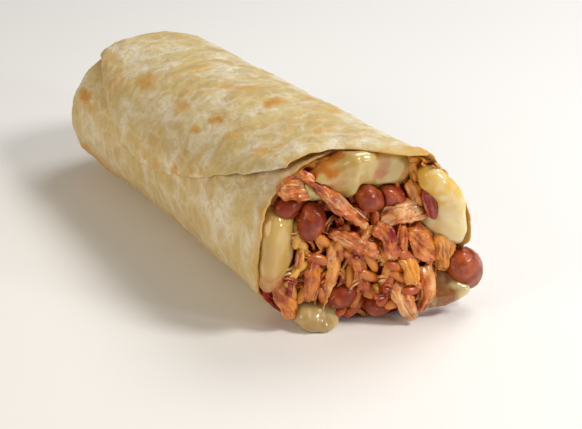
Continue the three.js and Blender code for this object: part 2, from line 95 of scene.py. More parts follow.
# The rims of the two turns: (angle round the roll, how far along the roll the rim stands).
INNER_RIM = [
    (0, 77), (20, 75), (45, 72), (70, 72), (82, 70), (95, 67), (110, 66.4), (130, 67), (150, 67),
    (175, 68), (190, 67), (203, 63.5), (218, 59.5), (240, 58), (270, 60), (300, 65), (328, 70), (345, 75),
]
OUTER_RIM = [
    (0, 86), (20, 82.8), (38, 78.4), (48, 79.6), (57, 82.8), (68, 82.4), (80, 79.5), (88, 73.4),
    (98, 68.8), (112, 67), (180, 66), (260, 64), (300, 67), (328, 73), (345, 80),
]
# The outer turn runs from a line low on the +y side to the flap's edge: (along the roll, angle of the edge).
FLAP_START = -62.0
FLAP_EDGE = [
    (-79, 106), (-73, 118), (-63, 130), (-54, 141), (-46, 151), (-37, 163.5), (-25, 174.5), (-13, 178.4),
    (0, 175.5), (12, 170), (22, 165), (31, 159.5), (40, 151.5), (50, 144.5), (58, 137.5), (65, 131),
    (70, 124),
]
FLAP_WIDEST = max(angle for _, angle in FLAP_EDGE)
FLAP_BED = 0.25  # between the two turns
FLAP_LIFT = 1.9  # how far the flap's edge stands off near the opening
FLAP_LIFTS = (30.0, 64.0)  # from where to where along the roll it rises
# The torn corner of the outer rim curls up over the last few millimetres.
TORN_TIP = {"angle": 58.0, "spread": 9.0, "lift": 2.0, "from": 74.0, "to": 82.0}
# The filling's face bulges, slants and spills out low on the +y side.
FACE_DEPTH = 70.0
FACE_SLANT = 0.2
FACE_BULGE = 2.6
SPILL = {"across": 17.0, "up": 11.0, "wide": 12.0, "high": 14.0, "out": 7.5}
FACE_MIDDLE = HALF_HEIGHT[2] - FLAT_DEPTH
# How far inside the roll's skin a soft filling stays: under the inner turn, under the outer one's rim, and
# in front of both, where it may stand out.
ROOM_UNDER = 1.0
ROOM_BETWEEN = -0.5
ROOM_AHEAD = -1.1


def smooth(value, low, high):
    """A soft step from 0 at low to 1 at high."""
    t = np.clip((value - low) / (high - low), 0, 1)
    return t * t * (3 - 2 * t)


def hump(value, middle, spread):
    """A soft hump that is 1 at the middle."""
    return np.exp(-(((value - middle) / spread) ** 2))


def unevenness(x, y, z):
    """The soft unevenness that the filling gives the roll, between -1 and 1."""
    slow = np.sin(x * 0.9 + 1.3 * np.sin(y * 0.7 + 0.5)) * np.cos(z * 0.8 + 0.6 * np.sin(x))
    quick = np.sin(y * 2.1 + 0.7 * z) * np.sin(x * 1.7 - z * 1.1 + 2)
    return 0.65 * slow + 0.35 * quick


def along_roll(values, x):
    """A size at a depth, from its values at the closed end, the middle and the open end."""
    closed, middle, opened = values
    t = np.clip((x - CLOSED_END) / (OPEN_END - CLOSED_END), 0, 1)
    return closed * (1 - t) * (1 - 2 * t) + 4 * middle * t * (1 - t) + opened * t * (2 * t - 1)


def angle_from(middle, angle):
    """How far an angle is from a middle one, between -180 and 180 degrees."""
    return (angle - middle + 540) % 360 - 180


def pleat(x, angle):
    """How deep the closed end's pleats are."""
    folds = sum(hump(angle_from(fold, angle), 0, PLEAT_SPREAD) for fold in PLEATS)
    return PLEAT_DEPTH * folds * (1 - smooth(x, CLOSED_END + PLEAT_FADE[0], CLOSED_END + PLEAT_FADE[1]))


def signed_power(value, power):
    """A power that keeps the value's sign."""
    return np.sign(value) * np.abs(value) ** power


def roll_point(x, angle, inset):
    """Points of the roll at a depth and an angle, moved inwards by inset."""
    x, angle, inset = np.broadcast_arrays(*(np.asarray(v, float) for v in (x, angle, inset)))
    turn = np.radians(angle)
    half_height = along_roll(HALF_HEIGHT, x)
    lump = unevenness(x / LUMP_LENGTH, LUMPS_ROUND * np.cos(turn), LUMPS_ROUND * np.sin(turn))
    inwards = inset - LUMP_HEIGHT * lump * smooth(x, CLOSED_END, LUMPS_FULL_FROM) + pleat(x, angle)
    across = signed_power(np.cos(turn), 2 / ROUNDNESS) * (along_roll(HALF_WIDTH, x) - inwards)
    up = signed_power(np.sin(turn), 2 / ROUNDNESS) * (half_height - inwards)
    along = np.clip((x - CLOSED_END - inset) / END_LENGTH, 0, 1)
    opening = (1 - (1 - along) ** END_POWER) ** (1 / END_POWER)
    middle = half_height * END_MIDDLE * (1 - opening) + (half_height - FLAT_DEPTH) * opening
    y = across * opening**END_WIDENING + along_roll(SWAY, x)
    z = np.maximum(np.maximum(middle + up * opening, inset), 0)
    return np.stack([x, y, z], -1) - BOX_CENTRE


def through(stations, place):
    """A smooth curve through stations of (place, value)."""
    at, value = np.array(stations, float).T
    before, after = np.r_[0, 0:len(at) - 1], np.r_[1:len(at), len(at) - 1]
    slope = (value[after] - value[before]) / (at[after] - at[before])
    i = np.clip(np.searchsorted(at, place, side="left"), 1, len(at) - 1)
    span = at[i] - at[i - 1]
    t = np.clip((place - at[i - 1]) / span, 0, 1)
    leaving = (2 * t**3 - 3 * t**2 + 1) * value[i - 1] + (t**3 - 2 * t**2 + t) * slope[i - 1] * span
    arriving = (3 * t**2 - 2 * t**3) * value[i] + (t**3 - t**2) * slope[i] * span
    return leaving + arriving


def rim_depth(rim, angle):
    """How far along the roll a rim stands at an angle."""
    laps = [(at + lap, depth) for lap in (-360, 0, 360) for at, depth in rim]
    return through(laps, np.asarray(angle, float) % 360)


def under_tortilla(points):
    """Moves points that would stand out through the tortilla back under it."""
    x = points[:, 0] + BOX_CENTRE[0]
    wide, high = along_roll(HALF_WIDTH, x), along_roll(HALF_HEIGHT, x)
    y, z = points[:, 1] + BOX_CENTRE[1] - along_roll(SWAY, x), points[:, 2] - high + FLAT_DEPTH
    up, across = signed_power(z / high, ROUNDNESS / 2), signed_power(y / wide, ROUNDNESS / 2)
    angle = np.degrees(np.arctan2(up, across))
    inner = rim_depth(INNER_RIM, angle)
    covered = (angle > FLAP_START) & (angle < through(FLAP_EDGE, x))
    front = np.where(covered, np.maximum(inner, rim_depth(OUTER_RIM, angle)), inner)
    room = ROOM_BETWEEN + (ROOM_UNDER - ROOM_BETWEEN) * smooth(x, inner + 1, inner - 0.5)
    room = room + (ROOM_AHEAD - ROOM_BETWEEN) * smooth(x, front, front + 1.5)
    level = np.abs(y / (wide - room)) ** ROUNDNESS + np.abs(z / (high - room)) ** ROUNDNESS
    over = np.maximum(level ** (1 / ROUNDNESS), 1)
    y, z = y / over + along_roll(SWAY, x) - BOX_CENTRE[1], z / over + high - FLAT_DEPTH
    return np.stack([points[:, 0], y, z], -1)


def face_depth(across, up):
    """How far forward the filling's bare face is, before the box is centred."""
    share = (across / HALF_WIDTH[2]) ** 2 + ((up - FACE_MIDDLE) / FACE_MIDDLE) ** 2
    aside, above = (across - SPILL["across"]) / SPILL["wide"], (up - SPILL["up"]) / SPILL["high"]
    spill = np.exp(-(aside**2) - above**2)
    return FACE_DEPTH + FACE_SLANT * across + FACE_BULGE * (1 - share) + SPILL["out"] * spill


def on_face(across, up, out):
    """Points in front of the filling's bare face."""
    across, up, out = np.broadcast_arrays(*(np.asarray(v, float) for v in (across, up, out)))
    return np.stack([face_depth(across, up) + out, across, up], -1) - BOX_CENTRE


# ---- noise ---------------------------------------------------------------------------------------

_lattice = np.random.default_rng(11)
GRADIENTS = _lattice.normal(size=(256, 3))
GRADIENTS /= np.linalg.norm(GRADIENTS, axis=1, keepdims=True)
SHUFFLE = _lattice.permutation(256)


def noise(points):
    """Smooth gradient noise between about -1 and 1, with features about one unit across."""
    shape = points.shape[:-1]
    p = points.reshape(-1, 3)
    cell = np.floor(p).astype(int)
    part = p - cell
    fade = part**3 * (part * (part * 6 - 15) + 10)
    total = np.zeros(len(p))
    for corner in itertools.product((0, 1), repeat=3):
        i, j, k = ((cell + corner) & 255).T
        direction = GRADIENTS[SHUFFLE[(SHUFFLE[(SHUFFLE[i] + j) & 255] + k) & 255]]
        weight = np.prod(np.where(corner, fade, 1 - fade), axis=1)
        total += weight * ((part - corner) * direction).sum(1)
    return (1.5 * total).reshape(shape)


def layered(points, octaves=3):
    """Noise with finer noise laid over it."""
    return sum(noise(points * 2.03**k + 7.3 * k) * 0.5**k for k in range(octaves))


def cells(across, along, columns, seed):
    """Blister-like cells on a sheet: how near each place is to its cell's middle (0) and to a border (0),
    and the cell's own random share. There are `columns` cells round the roll."""
    random = np.random.default_rng(seed)
    middles, shares = random.uniform(0.08, 0.92, (256, 256, 2)), random.uniform(0, 1, (256, 256))
    row, column = np.floor(along).astype(int), np.floor(across).astype(int)
    first, second = np.full(across.shape, 9.0), np.full(across.shape, 9.0)
    own = np.zeros(across.shape)
    for i, j in itertools.product((-2, -1, 0, 1, 2), repeat=2):
        a, b = (row + i) & 255, (column + j) % columns
        far = np.hypot(along - row - i - middles[a, b, 0], across - column - j - middles[a, b, 1])
        nearer = far < first
        second = np.where(nearer, first, np.minimum(second, far))
        own, first = np.where(nearer, shares[a, b], own), np.where(nearer, far, first)
    return first, second - first, own


# ---- meshes --------------------------------------------------------------------------------------

def set_values(mesh, **attributes):
    """Gives each point of a mesh a named value: one number, or a row of three."""
    for key, values in attributes.items():
        values = np.asarray(values, np.float32)
        if values.ndim == 2:
            mesh.attributes.new(key, "FLOAT_VECTOR", "POINT").data.foreach_set("vector", values.ravel())
        else:
            spread = np.ascontiguousarray(np.broadcast_to(values, len(mesh.vertices)))
            mesh.attributes.new(key, "FLOAT", "POINT").data.foreach_set("value", spread)


def mesh_from(name, points, faces, **attributes):
    """A smooth-shaded mesh in metres from points in millimetres, with a named value for each point."""
    mesh = bpy.data.meshes.new(name)
    mesh.from_pydata((np.asarray(points) * MM).tolist(), [], faces)
    mesh.validate()
    mesh.shade_smooth()
    set_values(mesh, **attributes)
    return mesh


def piece(name, mesh, material, slot, *nodes):
    """An object that stands for CAD nodes, with the material it is given; its slot is not used."""
    mesh.materials.clear()
    mesh.materials.append(material)
    made = bpy.data.objects.new(name, mesh)
    bpy.context.scene.collection.objects.link(made)
    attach(made, "root")
    if nodes:
        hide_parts(*nodes)
    return made


def reshaped(mesh, *modifiers, chosen=()):
    """The mesh after modifiers, each given as its type and its settings, and the chosen points as a group."""
    carrier = bpy.data.objects.new("carrier", mesh)
    bpy.context.scene.collection.objects.link(carrier)
    if len(chosen):
        carrier.vertex_groups.new(name="chosen").add(chosen, 1.0, "REPLACE")
    for kind, settings in modifiers:
        modifier = carrier.modifiers.new(kind, kind)
        for key, value in settings.items():
            setattr(modifier, key, value)
    made = bpy.data.meshes.new_from_object(carrier.evaluated_get(bpy.context.evaluated_depsgraph_get()))
    bpy.data.objects.remove(carrier)
    return made


def points_and_normals(mesh):
    """A mesh's points in millimetres and its normals."""
    points = np.empty(3 * len(mesh.vertices), np.float32)
    mesh.vertices.foreach_get("co", points)
    normals = np.empty(3 * len(mesh.vertices), np.float32)
    mesh.vertex_normals.foreach_get("vector", normals)
    return points.reshape(-1, 3).astype(float) / MM, normals.reshape(-1, 3).astype(float)


def set_points(mesh, points):
    """Moves a mesh's points to places in millimetres."""
    mesh.vertices.foreach_set("co", (points * MM).astype(np.float32).ravel())
    mesh.update()


def rounding(rounds):
    """The modifier that rounds a mesh."""
    return "SMOOTH", {"factor": 0.5, "iterations": rounds}


# The size of each kind's voxels, as a share of the filling's mesh step, and how often it is then rounded.
FINENESS = {"cheese": (1.4, 40), "bean": (1.0, 16), "chicken": (0.8, 6)}


def softened(name, step):
    """A CAD node's solid as an even, rounded mesh: its facets are gone and its form is kept."""
    share, rounds = FINENESS[name.split("_")[0]]
    voxels = ("REMESH", {"mode": "VOXEL", "voxel_size": share * step, "use_smooth_shade": True})
    return reshaped(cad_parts[name].data.copy(), voxels, rounding(rounds))


def grid_faces(rows, columns, offset=0, closed=False, flip=False):
    """The faces between rows of points, which a closed grid joins into rings."""
    wide = columns if closed else columns - 1
    i, j = np.meshgrid(np.arange(rows - 1), np.arange(wide), indexing="ij")
    a, b = offset + i * columns + j, offset + i * columns + (j + 1) % columns
    quads = np.stack([a, b, b + columns, a + columns], -1).reshape(-1, 4)
    return (quads[:, ::-1] if flip else quads).tolist()


def closed_faces(rows, columns):
    """The faces of rings of points, closed by a fan to each of the two points that follow the last ring."""
    first_tip, last_tip, last_ring = rows * columns, rows * columns + 1, (rows - 1) * columns
    faces = grid_faces(rows, columns, closed=True)
    for k in range(columns):
        following = (k + 1) % columns
        faces += [(first_tip, following, k), (last_tip, last_ring + k, last_ring + following)]
    return faces


def tubes(paths, radii, sides):
    """Closed tubes along paths of points, with a radius for each point, as one list of points and faces."""
    points, faces = [], []
    for path, radius in zip(paths, radii):
        forward = np.gradient(path, axis=0)
        forward /= np.linalg.norm(forward, axis=1, keepdims=True)
        aside = np.cross(forward, [0.3, 0.2, 1.0])
        aside /= np.linalg.norm(aside, axis=1, keepdims=True)
        level = np.cross(forward, aside)
        start = len(points)
        for s, r in enumerate(radius):
            for turn in np.arange(sides) * 2 * math.pi / sides:
                points.append(path[s] + r * (math.cos(turn) * aside[s] + math.sin(turn) * level[s]))
        faces += grid_faces(len(path), sides, offset=start, closed=True)
        faces.append(tuple(start + k for k in reversed(range(sides))))
        faces.append(tuple(len(points) - sides + k for k in range(sides)))
    return points, faces


# ---- materials -----------------------------------------------------------------------------------

def linear(code, alpha=True):
    """An sRGB hex colour as linear values."""
    parts = [int(code[i:i + 2], 16) / 255 for i in (1, 3, 5)]
    values = [p / 12.92 if p <= 0.04045 else ((p + 0.055) / 1.055) ** 2.4 for p in parts]
    return (*values, 1.0) if alpha else tuple(values)


def node(tree, kind, settings=None, out=0, **inputs):
    """Adds a node: its settings, and its inputs by name or number, each a value or another node's output."""
    made = tree.nodes.new("ShaderNode" + kind)
    for key, value in (settings or {}).items():
        setattr(made, key, value)
    for key, value in inputs.items():
        socket = made.inputs[int(key[1:]) if key[1:].isdigit() else key.replace("_", " ")]
        if isinstance(value, bpy.types.NodeSocket):
            tree.links.new(value, socket)
        elif isinstance(value, str):
            socket.default_value = linear(value)
        elif socket.type == "RGBA" and len(value) == 3:
            socket.default_value = (*value, 1.0)
        else:
            socket.default_value = value
    return made.outputs[out]


def surface(name, **values):
    """A new material with its tree and its shader, whose sockets are set directly."""
    material = bpy.data.materials.new(name)
    material.use_nodes = True
    shader = material.node_tree.nodes["Principled BSDF"]
    for key, value in values.items():
        shader.inputs[key.replace("_", " ")].default_value = value
    return material, material.node_tree, shader


# Settings that the materials' nodes share. A mix takes its share as i0 and its colours as i6 and i7, and a
# map from a range takes the range as i1 and i2 and what it becomes as i3 and i4.
COLOUR = {"data_type": "RGBA"}
PRODUCT = {"operation": "MULTIPLY"}
SUM = {"operation": "ADD", "use_clamp": True}
SOFT = {"interpolation_type": "SMOOTHSTEP"}
# Shades that follow from the others, so they aren't settings.
# The red between the chicken's ridges is partly sauce and partly painted shade in its grooves.
SAUCE_AND_SHADE_BETWEEN_RIDGES = "#760800"
# The chicken's fibre seams are partly sauce and partly painted shade, and its fibre tops partly pale meat and
# partly painted highlight.
FIBRE_SEAM_SAUCE_AND_SHADE = "#761400"
FIBRE_TOP_PALE_AND_HIGHLIGHT = "#F2B470"
SPICE = "#6E2A10"
FAT_LINING = "#C98A3C"
CRUMB_STRAW, CRUMB_ORANGE, CRUMB_DARK = "#D9A24E", "#B4612A", "#55200F"
BOARD_SHADES = ("#F5F6F8", "#F9FAFB")


def toasted_tortilla(look):
    """Griddled wheat-flour tortilla: a matt, floury skin that lets some light in, mottled cream and tan."""
    material, tree, shader = surface(
        "griddled_flour_tortilla", Roughness=0.6, IOR=1.42, Specular_IOR_Level=0.3,
        Subsurface_Weight=0.15, Subsurface_Radius=(1.0, 0.62, 0.3), Subsurface_Scale=1.2 * MM,
    )
    place = node(tree, "TexCoord", out="Object")
    # Broad patches of drier dough, 12 mm across, broken up by mottling 2.4 mm across.
    broad = node(tree, "TexNoise", Vector=place, Scale=1 / (12 * MM), Detail=3.0, Distortion=0.4)
    broad = node(tree, "MapRange", SOFT, i0=broad, i1=0.4, i2=0.68)
    fine = node(
        tree, "TexNoise", Vector=place, Scale=1 / (2.4 * MM), Detail=5.0, Roughness=0.7, Distortion=0.8,
    )
    fine = node(tree, "MapRange", SOFT, i0=fine, i1=0.4, i2=0.7, i4=0.6)
    colour = node(tree, "Mix", COLOUR, 2, i0=broad, i6=look.dough, i7=look.flour)
    colour = node(tree, "Mix", COLOUR, 2, i0=fine, i6=colour, i7=look.tan)
    # Blisters that touched the griddle are tan, as are the lower sides, partly as painted shade, and the
    # dough drawn up between them stays pale.
    blister = node(tree, "Attribute", {"attribute_name": "blister"}, 2)
    colour = node(tree, "Mix", COLOUR, 2, i0=blister, i6=colour, i7=look.blister)
    ridge = node(tree, "Attribute", {"attribute_name": "ridge"}, 2)
    colour = node(tree, "Mix", COLOUR, 2, i0=ridge, i6=colour, i7=look.flour)
    # Fat from the filling soaks through near the opening.
    fat = node(tree, "Attribute", {"attribute_name": "fat"}, 2)
    fat = node(tree, "Math", PRODUCT, i0=fat, i1=0.8)
    colour = node(tree, "Mix", COLOUR, 2, i0=fat, i6=colour, i7=look.fat)
    # The griddle toasts the tops of the blisters: golden at their edge and brown in the middle.
    grain = node(tree, "TexNoise", Vector=place, Scale=1 / (1.6 * MM), Detail=4.0, Roughness=0.7)
    grain = node(tree, "MapRange", i0=grain, i1=0.3, i2=0.7, i3=-0.14, i4=0.14)
    toast = node(tree, "Attribute", {"attribute_name": "toast"}, 2)
    toast = node(tree, "Math", SUM, i0=toast, i1=grain)
    golden = node(tree, "MapRange", SOFT, i0=toast, i1=0.1, i2=0.7)
    colour = node(tree, "Mix", COLOUR, 2, i0=golden, i6=colour, i7=look.golden)
    brown = node(tree, "MapRange", SOFT, i0=toast, i1=0.55, i2=1.15)
    colour = node(tree, "Mix", COLOUR, 2, i0=brown, i6=colour, i7=look.brown)
    tree.links.new(colour, shader.inputs["Base Color"])
    # Creases 7 mm apart, a crumb of 2.2 mm and a floury grit of 0.6 mm.
    crease = node(
        tree, "TexNoise", {"noise_type": "RIDGED_MULTIFRACTAL"}, Vector=place, Scale=1 / (7 * MM), Detail=3.0,
        Roughness=0.5, Distortion=0.5,
    )
    crease = node(tree, "Bump", Height=crease, Distance=0.55 * MM, Strength=0.9)
    crumb = node(tree, "TexNoise", Vector=place, Scale=1 / (2.2 * MM), Detail=5.0, Roughness=0.7)
    crumb = node(tree, "Bump", Height=crumb, Distance=0.6 * MM, Strength=1.0, Normal=crease)
    grit = node(tree, "TexNoise", Vector=place, Scale=1 / (0.6 * MM), Detail=3.0, Roughness=0.7)
    grit = node(tree, "Bump", Height=grit, Distance=0.12 * MM, Strength=0.9, Normal=crumb)
    tree.links.new(grit, shader.inputs["Normal"])
    return material


def melted_cheese(name, thick, thin, amber):
    """Melted cheese: cloudy where it is thick, amber where sauce shows through, with an oily, wavy skin."""
    material, tree, shader = surface(
        name, Roughness=0.22, IOR=1.45, Specular_IOR_Level=0.45, Coat_Weight=1.0, Coat_Roughness=0.05,
        Subsurface_Weight=0.7, Subsurface_Radius=(1.0, 0.7, 0.3), Subsurface_Scale=4.0 * MM,
    )
    place = node(tree, "TexCoord", out="Object")
    # Clouds 9 mm across, and wisps of 3.5 mm at the edge of what shows through.
    cloud = node(tree, "TexNoise", Vector=place, Scale=1 / (9 * MM), Detail=2.0, Distortion=0.6)
    cloud = node(tree, "MapRange", SOFT, i0=cloud, i1=0.38, i2=0.62, i4=0.45)
    colour = node(tree, "Mix", COLOUR, 2, i0=cloud, i6=thick, i7=thin)
    clear = node(tree, "Attribute", {"attribute_name": "clear"}, 2)
    wisp = node(tree, "TexNoise", Vector=place, Scale=1 / (3.5 * MM), Detail=3.0, Distortion=0.8)
    wisp = node(tree, "MapRange", i0=wisp, i1=0.3, i2=0.7, i3=-0.25, i4=0.25)
    clear = node(tree, "Math", SUM, i0=clear, i1=wisp)
    clear = node(tree, "MapRange", SOFT, i0=clear, i1=0.2, i2=1.0)
    colour = node(tree, "Mix", COLOUR, 2, i0=clear, i6=colour, i7=amber)
    tree.links.new(colour, shader.inputs["Base Color"])
    see_through = node(tree, "MapRange", i0=clear, i3=0.03, i4=0.08)
    tree.links.new(see_through, shader.inputs["Transmission Weight"])
    # The oily skin lies in waves 4.5 mm long, which break up its highlights.
    skin = node(tree, "TexNoise", Vector=place, Scale=1 / (4.5 * MM), Detail=2.0, Roughness=0.4)
    tree.links.new(node(tree, "Bump", Height=skin, Distance=0.6 * MM, Strength=0.7), shader.inputs["Normal"])
    return material


def boiled_bean(look):
    """Boiled pinto bean: a smooth, taut, wet skin, red-brown with paler patches and darker streaks."""
    material, tree, shader = surface(
        "boiled_pinto_bean_skin", Roughness=0.36, IOR=1.42, Specular_IOR_Level=0.35, Coat_Weight=0.5,
        Coat_Roughness=0.17, Subsurface_Weight=0.2, Subsurface_Radius=(1.0, 0.35, 0.2),
        Subsurface_Scale=1.4 * MM,
    )
    place = node(tree, "TexCoord", out="Object")
    # Pale patches 5 mm across and dark streaks of 1.1 mm.
    patch = node(
        tree, "TexNoise", Vector=place, Scale=1 / (5 * MM), Detail=3.0, Roughness=0.55, Distortion=0.3,
    )
    patch = node(tree, "MapRange", SOFT, i0=patch, i1=0.4, i2=0.66)
    colour = node(tree, "Mix", COLOUR, 2, i0=patch, i6=look.skin, i7=look.skin_light)
    streak = node(
        tree, "TexNoise", Vector=place, Scale=1 / (1.1 * MM), Detail=3.0, Roughness=0.6, Distortion=0.5,
    )
    streak = node(tree, "MapRange", SOFT, i0=streak, i1=0.52, i2=0.74, i4=0.45)
    colour = node(tree, "Mix", COLOUR, 2, i0=streak, i6=colour, i7=look.skin_dark)
    tree.links.new(colour, shader.inputs["Base Color"])
    skin = node(tree, "TexNoise", Vector=place, Scale=1 / (1.4 * MM), Detail=3.0, Roughness=0.55)
    tree.links.new(node(tree, "Bump", Height=skin, Distance=0.08 * MM, Strength=0.6), shader.inputs["Normal"])
    return material


def pulled_chicken(look):
    """Pulled, sauced chicken: wet fibres, pale on their ridges and stained red-brown between them, partly as
    painted highlight and shade.
    """
    material, tree, shader = surface(
        "pulled_chicken", Roughness=0.34, IOR=1.4, Specular_IOR_Level=0.3, Coat_Weight=0.9,
        Coat_Roughness=0.07, Subsurface_Weight=0.25, Subsurface_Radius=(1.0, 0.45, 0.2),
        Subsurface_Scale=1.4 * MM,
    )
    place = node(tree, "TexCoord", out="Object")
    # Sauce stains it unevenly, in flecks 2.4 mm across.
    fleck = node(
        tree, "TexNoise", Vector=place, Scale=1 / (2.4 * MM), Detail=4.0, Roughness=0.65, Distortion=0.3,
    )
    fleck = node(tree, "MapRange", i0=fleck, i1=0.3, i2=0.7, i3=-0.28, i4=0.28)
    tone = node(tree, "Attribute", {"attribute_name": "tone"}, 2)
    tone = node(tree, "Math", SUM, i0=tone, i1=fleck)
    orange = node(tree, "MapRange", SOFT, i0=tone, i1=0.0, i2=0.5)
    colour = node(tree, "Mix", COLOUR, 2, i0=orange, i6=look.meat, i7=look.meat_orange)
    red = node(tree, "MapRange", SOFT, i0=tone, i1=0.5, i2=1.0)
    colour = node(tree, "Mix", COLOUR, 2, i0=red, i6=colour, i7=look.meat_red)
    gold = node(tree, "Attribute", {"attribute_name": "gold"}, 2)
    gold = node(tree, "MapRange", SOFT, i0=gold, i1=0.2, i2=1.0, i4=0.85)
    colour = node(tree, "Mix", COLOUR, 2, i0=gold, i6=colour, i7=look.meat_gold)
    # Low places between the ridges turn dark red: partly sauce, partly painted shade.
    between = node(tree, "Mix", COLOUR, 2, i0=0.72, i6=colour, i7=SAUCE_AND_SHADE_BETWEEN_RIDGES)
    ridge = node(tree, "Attribute", {"attribute_name": "ridge"}, 2)
    ridge = node(tree, "MapRange", SOFT, i0=ridge, i1=0.1, i2=0.7)
    colour = node(tree, "Mix", COLOUR, 2, i0=ridge, i6=between, i7=colour)
    # Fibres that run along the piece, pale on top, partly as painted highlight, with sauce and painted shade
    # between them. The grain is in millimetres, so they are 0.9 mm across.
    grain = node(tree, "Attribute", {"attribute_name": "grain"}, 1)
    fibre = node(tree, "TexNoise", Vector=grain, Scale=1.1, Detail=4.0, Roughness=0.6, Distortion=0.2)
    seam = node(tree, "MapRange", SOFT, i0=fibre, i1=0.5, i2=0.36, i4=0.42)
    colour = node(tree, "Mix", COLOUR, 2, i0=seam, i6=colour, i7=FIBRE_SEAM_SAUCE_AND_SHADE)
    top = node(tree, "MapRange", SOFT, i0=fibre, i1=0.52, i2=0.68, i4=0.45)
    colour = node(tree, "Mix", COLOUR, 2, i0=top, i6=colour, i7=FIBRE_TOP_PALE_AND_HIGHLIGHT)
    spice = node(tree, "TexNoise", Vector=place, Scale=1 / (1.0 * MM), Detail=3.0, Roughness=0.7)
    spice = node(tree, "MapRange", SOFT, i0=spice, i1=0.6, i2=0.74, i4=0.45)
    colour = node(tree, "Mix", COLOUR, 2, i0=spice, i6=colour, i7=SPICE)
    tree.links.new(colour, shader.inputs["Base Color"])
    skin = node(tree, "TexNoise", Vector=place, Scale=1 / (0.8 * MM), Detail=3.0, Roughness=0.6)
    skin = node(tree, "Bump", Height=skin, Distance=0.12 * MM, Strength=0.7)
    fibre = node(tree, "Bump", Height=fibre, Distance=0.3 * MM, Strength=1.0, Normal=skin)
    tree.links.new(fibre, shader.inputs["Normal"])
    return material


def seasoned_rice(look):
    """Seasoned long-grain rice: boiled grains, translucent and slick, stained orange to red by the sauce."""
    material, tree, shader = surface(
        "seasoned_rice_grain", Roughness=0.32, IOR=1.4, Specular_IOR_Level=0.3, Coat_Weight=0.9,
        Coat_Roughness=0.07, Subsurface_Weight=0.3, Subsurface_Radius=(1.0, 0.55, 0.22),
        Subsurface_Scale=1.2 * MM,
    )
    place = node(tree, "TexCoord", out="Object")
    # The stain varies over about half a grain's length.
    cloud = node(tree, "TexNoise", Vector=place, Scale=1 / (4 * MM), Detail=2.0)
    cloud = node(tree, "MapRange", i0=cloud, i1=0.3, i2=0.7, i3=-0.18, i4=0.18)
    tone = node(tree, "Attribute", {"attribute_name": "tone"}, 2)
    tone = node(tree, "Math", SUM, i0=tone, i1=cloud)
    orange = node(tree, "MapRange", SOFT, i0=tone, i1=0.1, i2=0.55)
    colour = node(tree, "Mix", COLOUR, 2, i0=orange, i6=look.grain, i7=look.grain_orange)
    red = node(tree, "MapRange", SOFT, i0=tone, i1=0.6, i2=1.0)
    colour = node(tree, "Mix", COLOUR, 2, i0=red, i6=colour, i7=look.grain_red)
    tree.links.new(colour, shader.inputs["Base Color"])
    skin = node(tree, "TexNoise", Vector=place, Scale=1 / (1.2 * MM), Detail=2.0)
    tree.links.new(node(tree, "Bump", Height=skin, Distance=0.06 * MM, Strength=0.5), shader.inputs["Normal"])
    return material


def red_sauce(look):
    """Chopped meat and rice in cooked chilli sauce: deep red in the hollows and orange on the lumps, partly
    as painted shade.
    """
    material, tree, shader = surface(
        "cooked_chilli_sauce", Roughness=0.4, IOR=1.36, Specular_IOR_Level=0.25, Coat_Weight=0.25,
        Coat_Roughness=0.06, Subsurface_Weight=0.08, Subsurface_Radius=(1.0, 0.25, 0.12),
        Subsurface_Scale=1.2 * MM,
    )
    place = node(tree, "TexCoord", out="Object")
    # Chopped bits 2.6 mm across.
    patch = node(
        tree, "TexNoise", Vector=place, Scale=1 / (2.6 * MM), Detail=5.0, Roughness=0.65, Distortion=0.6,
    )
    patch = node(tree, "MapRange", i0=patch, i1=0.3, i2=0.7, i3=-0.22, i4=0.22)
    tone = node(tree, "Attribute", {"attribute_name": "tone"}, 2)
    tone = node(tree, "Math", SUM, i0=tone, i1=patch)
    red = node(tree, "MapRange", SOFT, i0=tone, i1=0.05, i2=0.5)
    colour = node(tree, "Mix", COLOUR, 2, i0=red, i6=look.sauce_deep, i7=look.sauce)
    orange = node(tree, "MapRange", SOFT, i0=tone, i1=0.5, i2=0.95)
    colour = node(tree, "Mix", COLOUR, 2, i0=orange, i6=colour, i7=look.sauce_light)
    # Melted fat and cheese line the tortilla.
    lining = node(tree, "Attribute", {"attribute_name": "lining"}, 2)
    colour = node(tree, "Mix", COLOUR, 2, i0=lining, i6=colour, i7=FAT_LINING)
    tree.links.new(colour, shader.inputs["Base Color"])
    skin = node(tree, "TexNoise", Vector=place, Scale=1 / (1.5 * MM), Detail=4.0, Roughness=0.6)
    tree.links.new(node(tree, "Bump", Height=skin, Distance=0.4 * MM, Strength=0.8), shader.inputs["Normal"])
    return material


def crumb_bits():
    """Crumbs of meat, spice and cheese: small moist bits from straw yellow to nearly black."""
    material, tree, shader = surface("crumbs_and_spice", Roughness=0.5, IOR=1.42, Specular_IOR_Level=0.4)
    place = node(tree, "TexCoord", out="Object")
    tone = node(tree, "Attribute", {"attribute_name": "tone"}, 2)
    orange = node(tree, "MapRange", SOFT, i0=tone, i1=0.0, i2=0.45)
    colour = node(tree, "Mix", COLOUR, 2, i0=orange, i6=CRUMB_STRAW, i7=CRUMB_ORANGE)
    dark = node(tree, "MapRange", SOFT, i0=tone, i1=0.5, i2=0.9)
    colour = node(tree, "Mix", COLOUR, 2, i0=dark, i6=colour, i7=CRUMB_DARK)
    tree.links.new(colour, shader.inputs["Base Color"])
    skin = node(tree, "TexNoise", Vector=place, Scale=1 / (0.5 * MM), Detail=3.0, Roughness=0.6)
    tree.links.new(node(tree, "Bump", Height=skin, Distance=0.1 * MM, Strength=0.7), shader.inputs["Normal"])
    return material


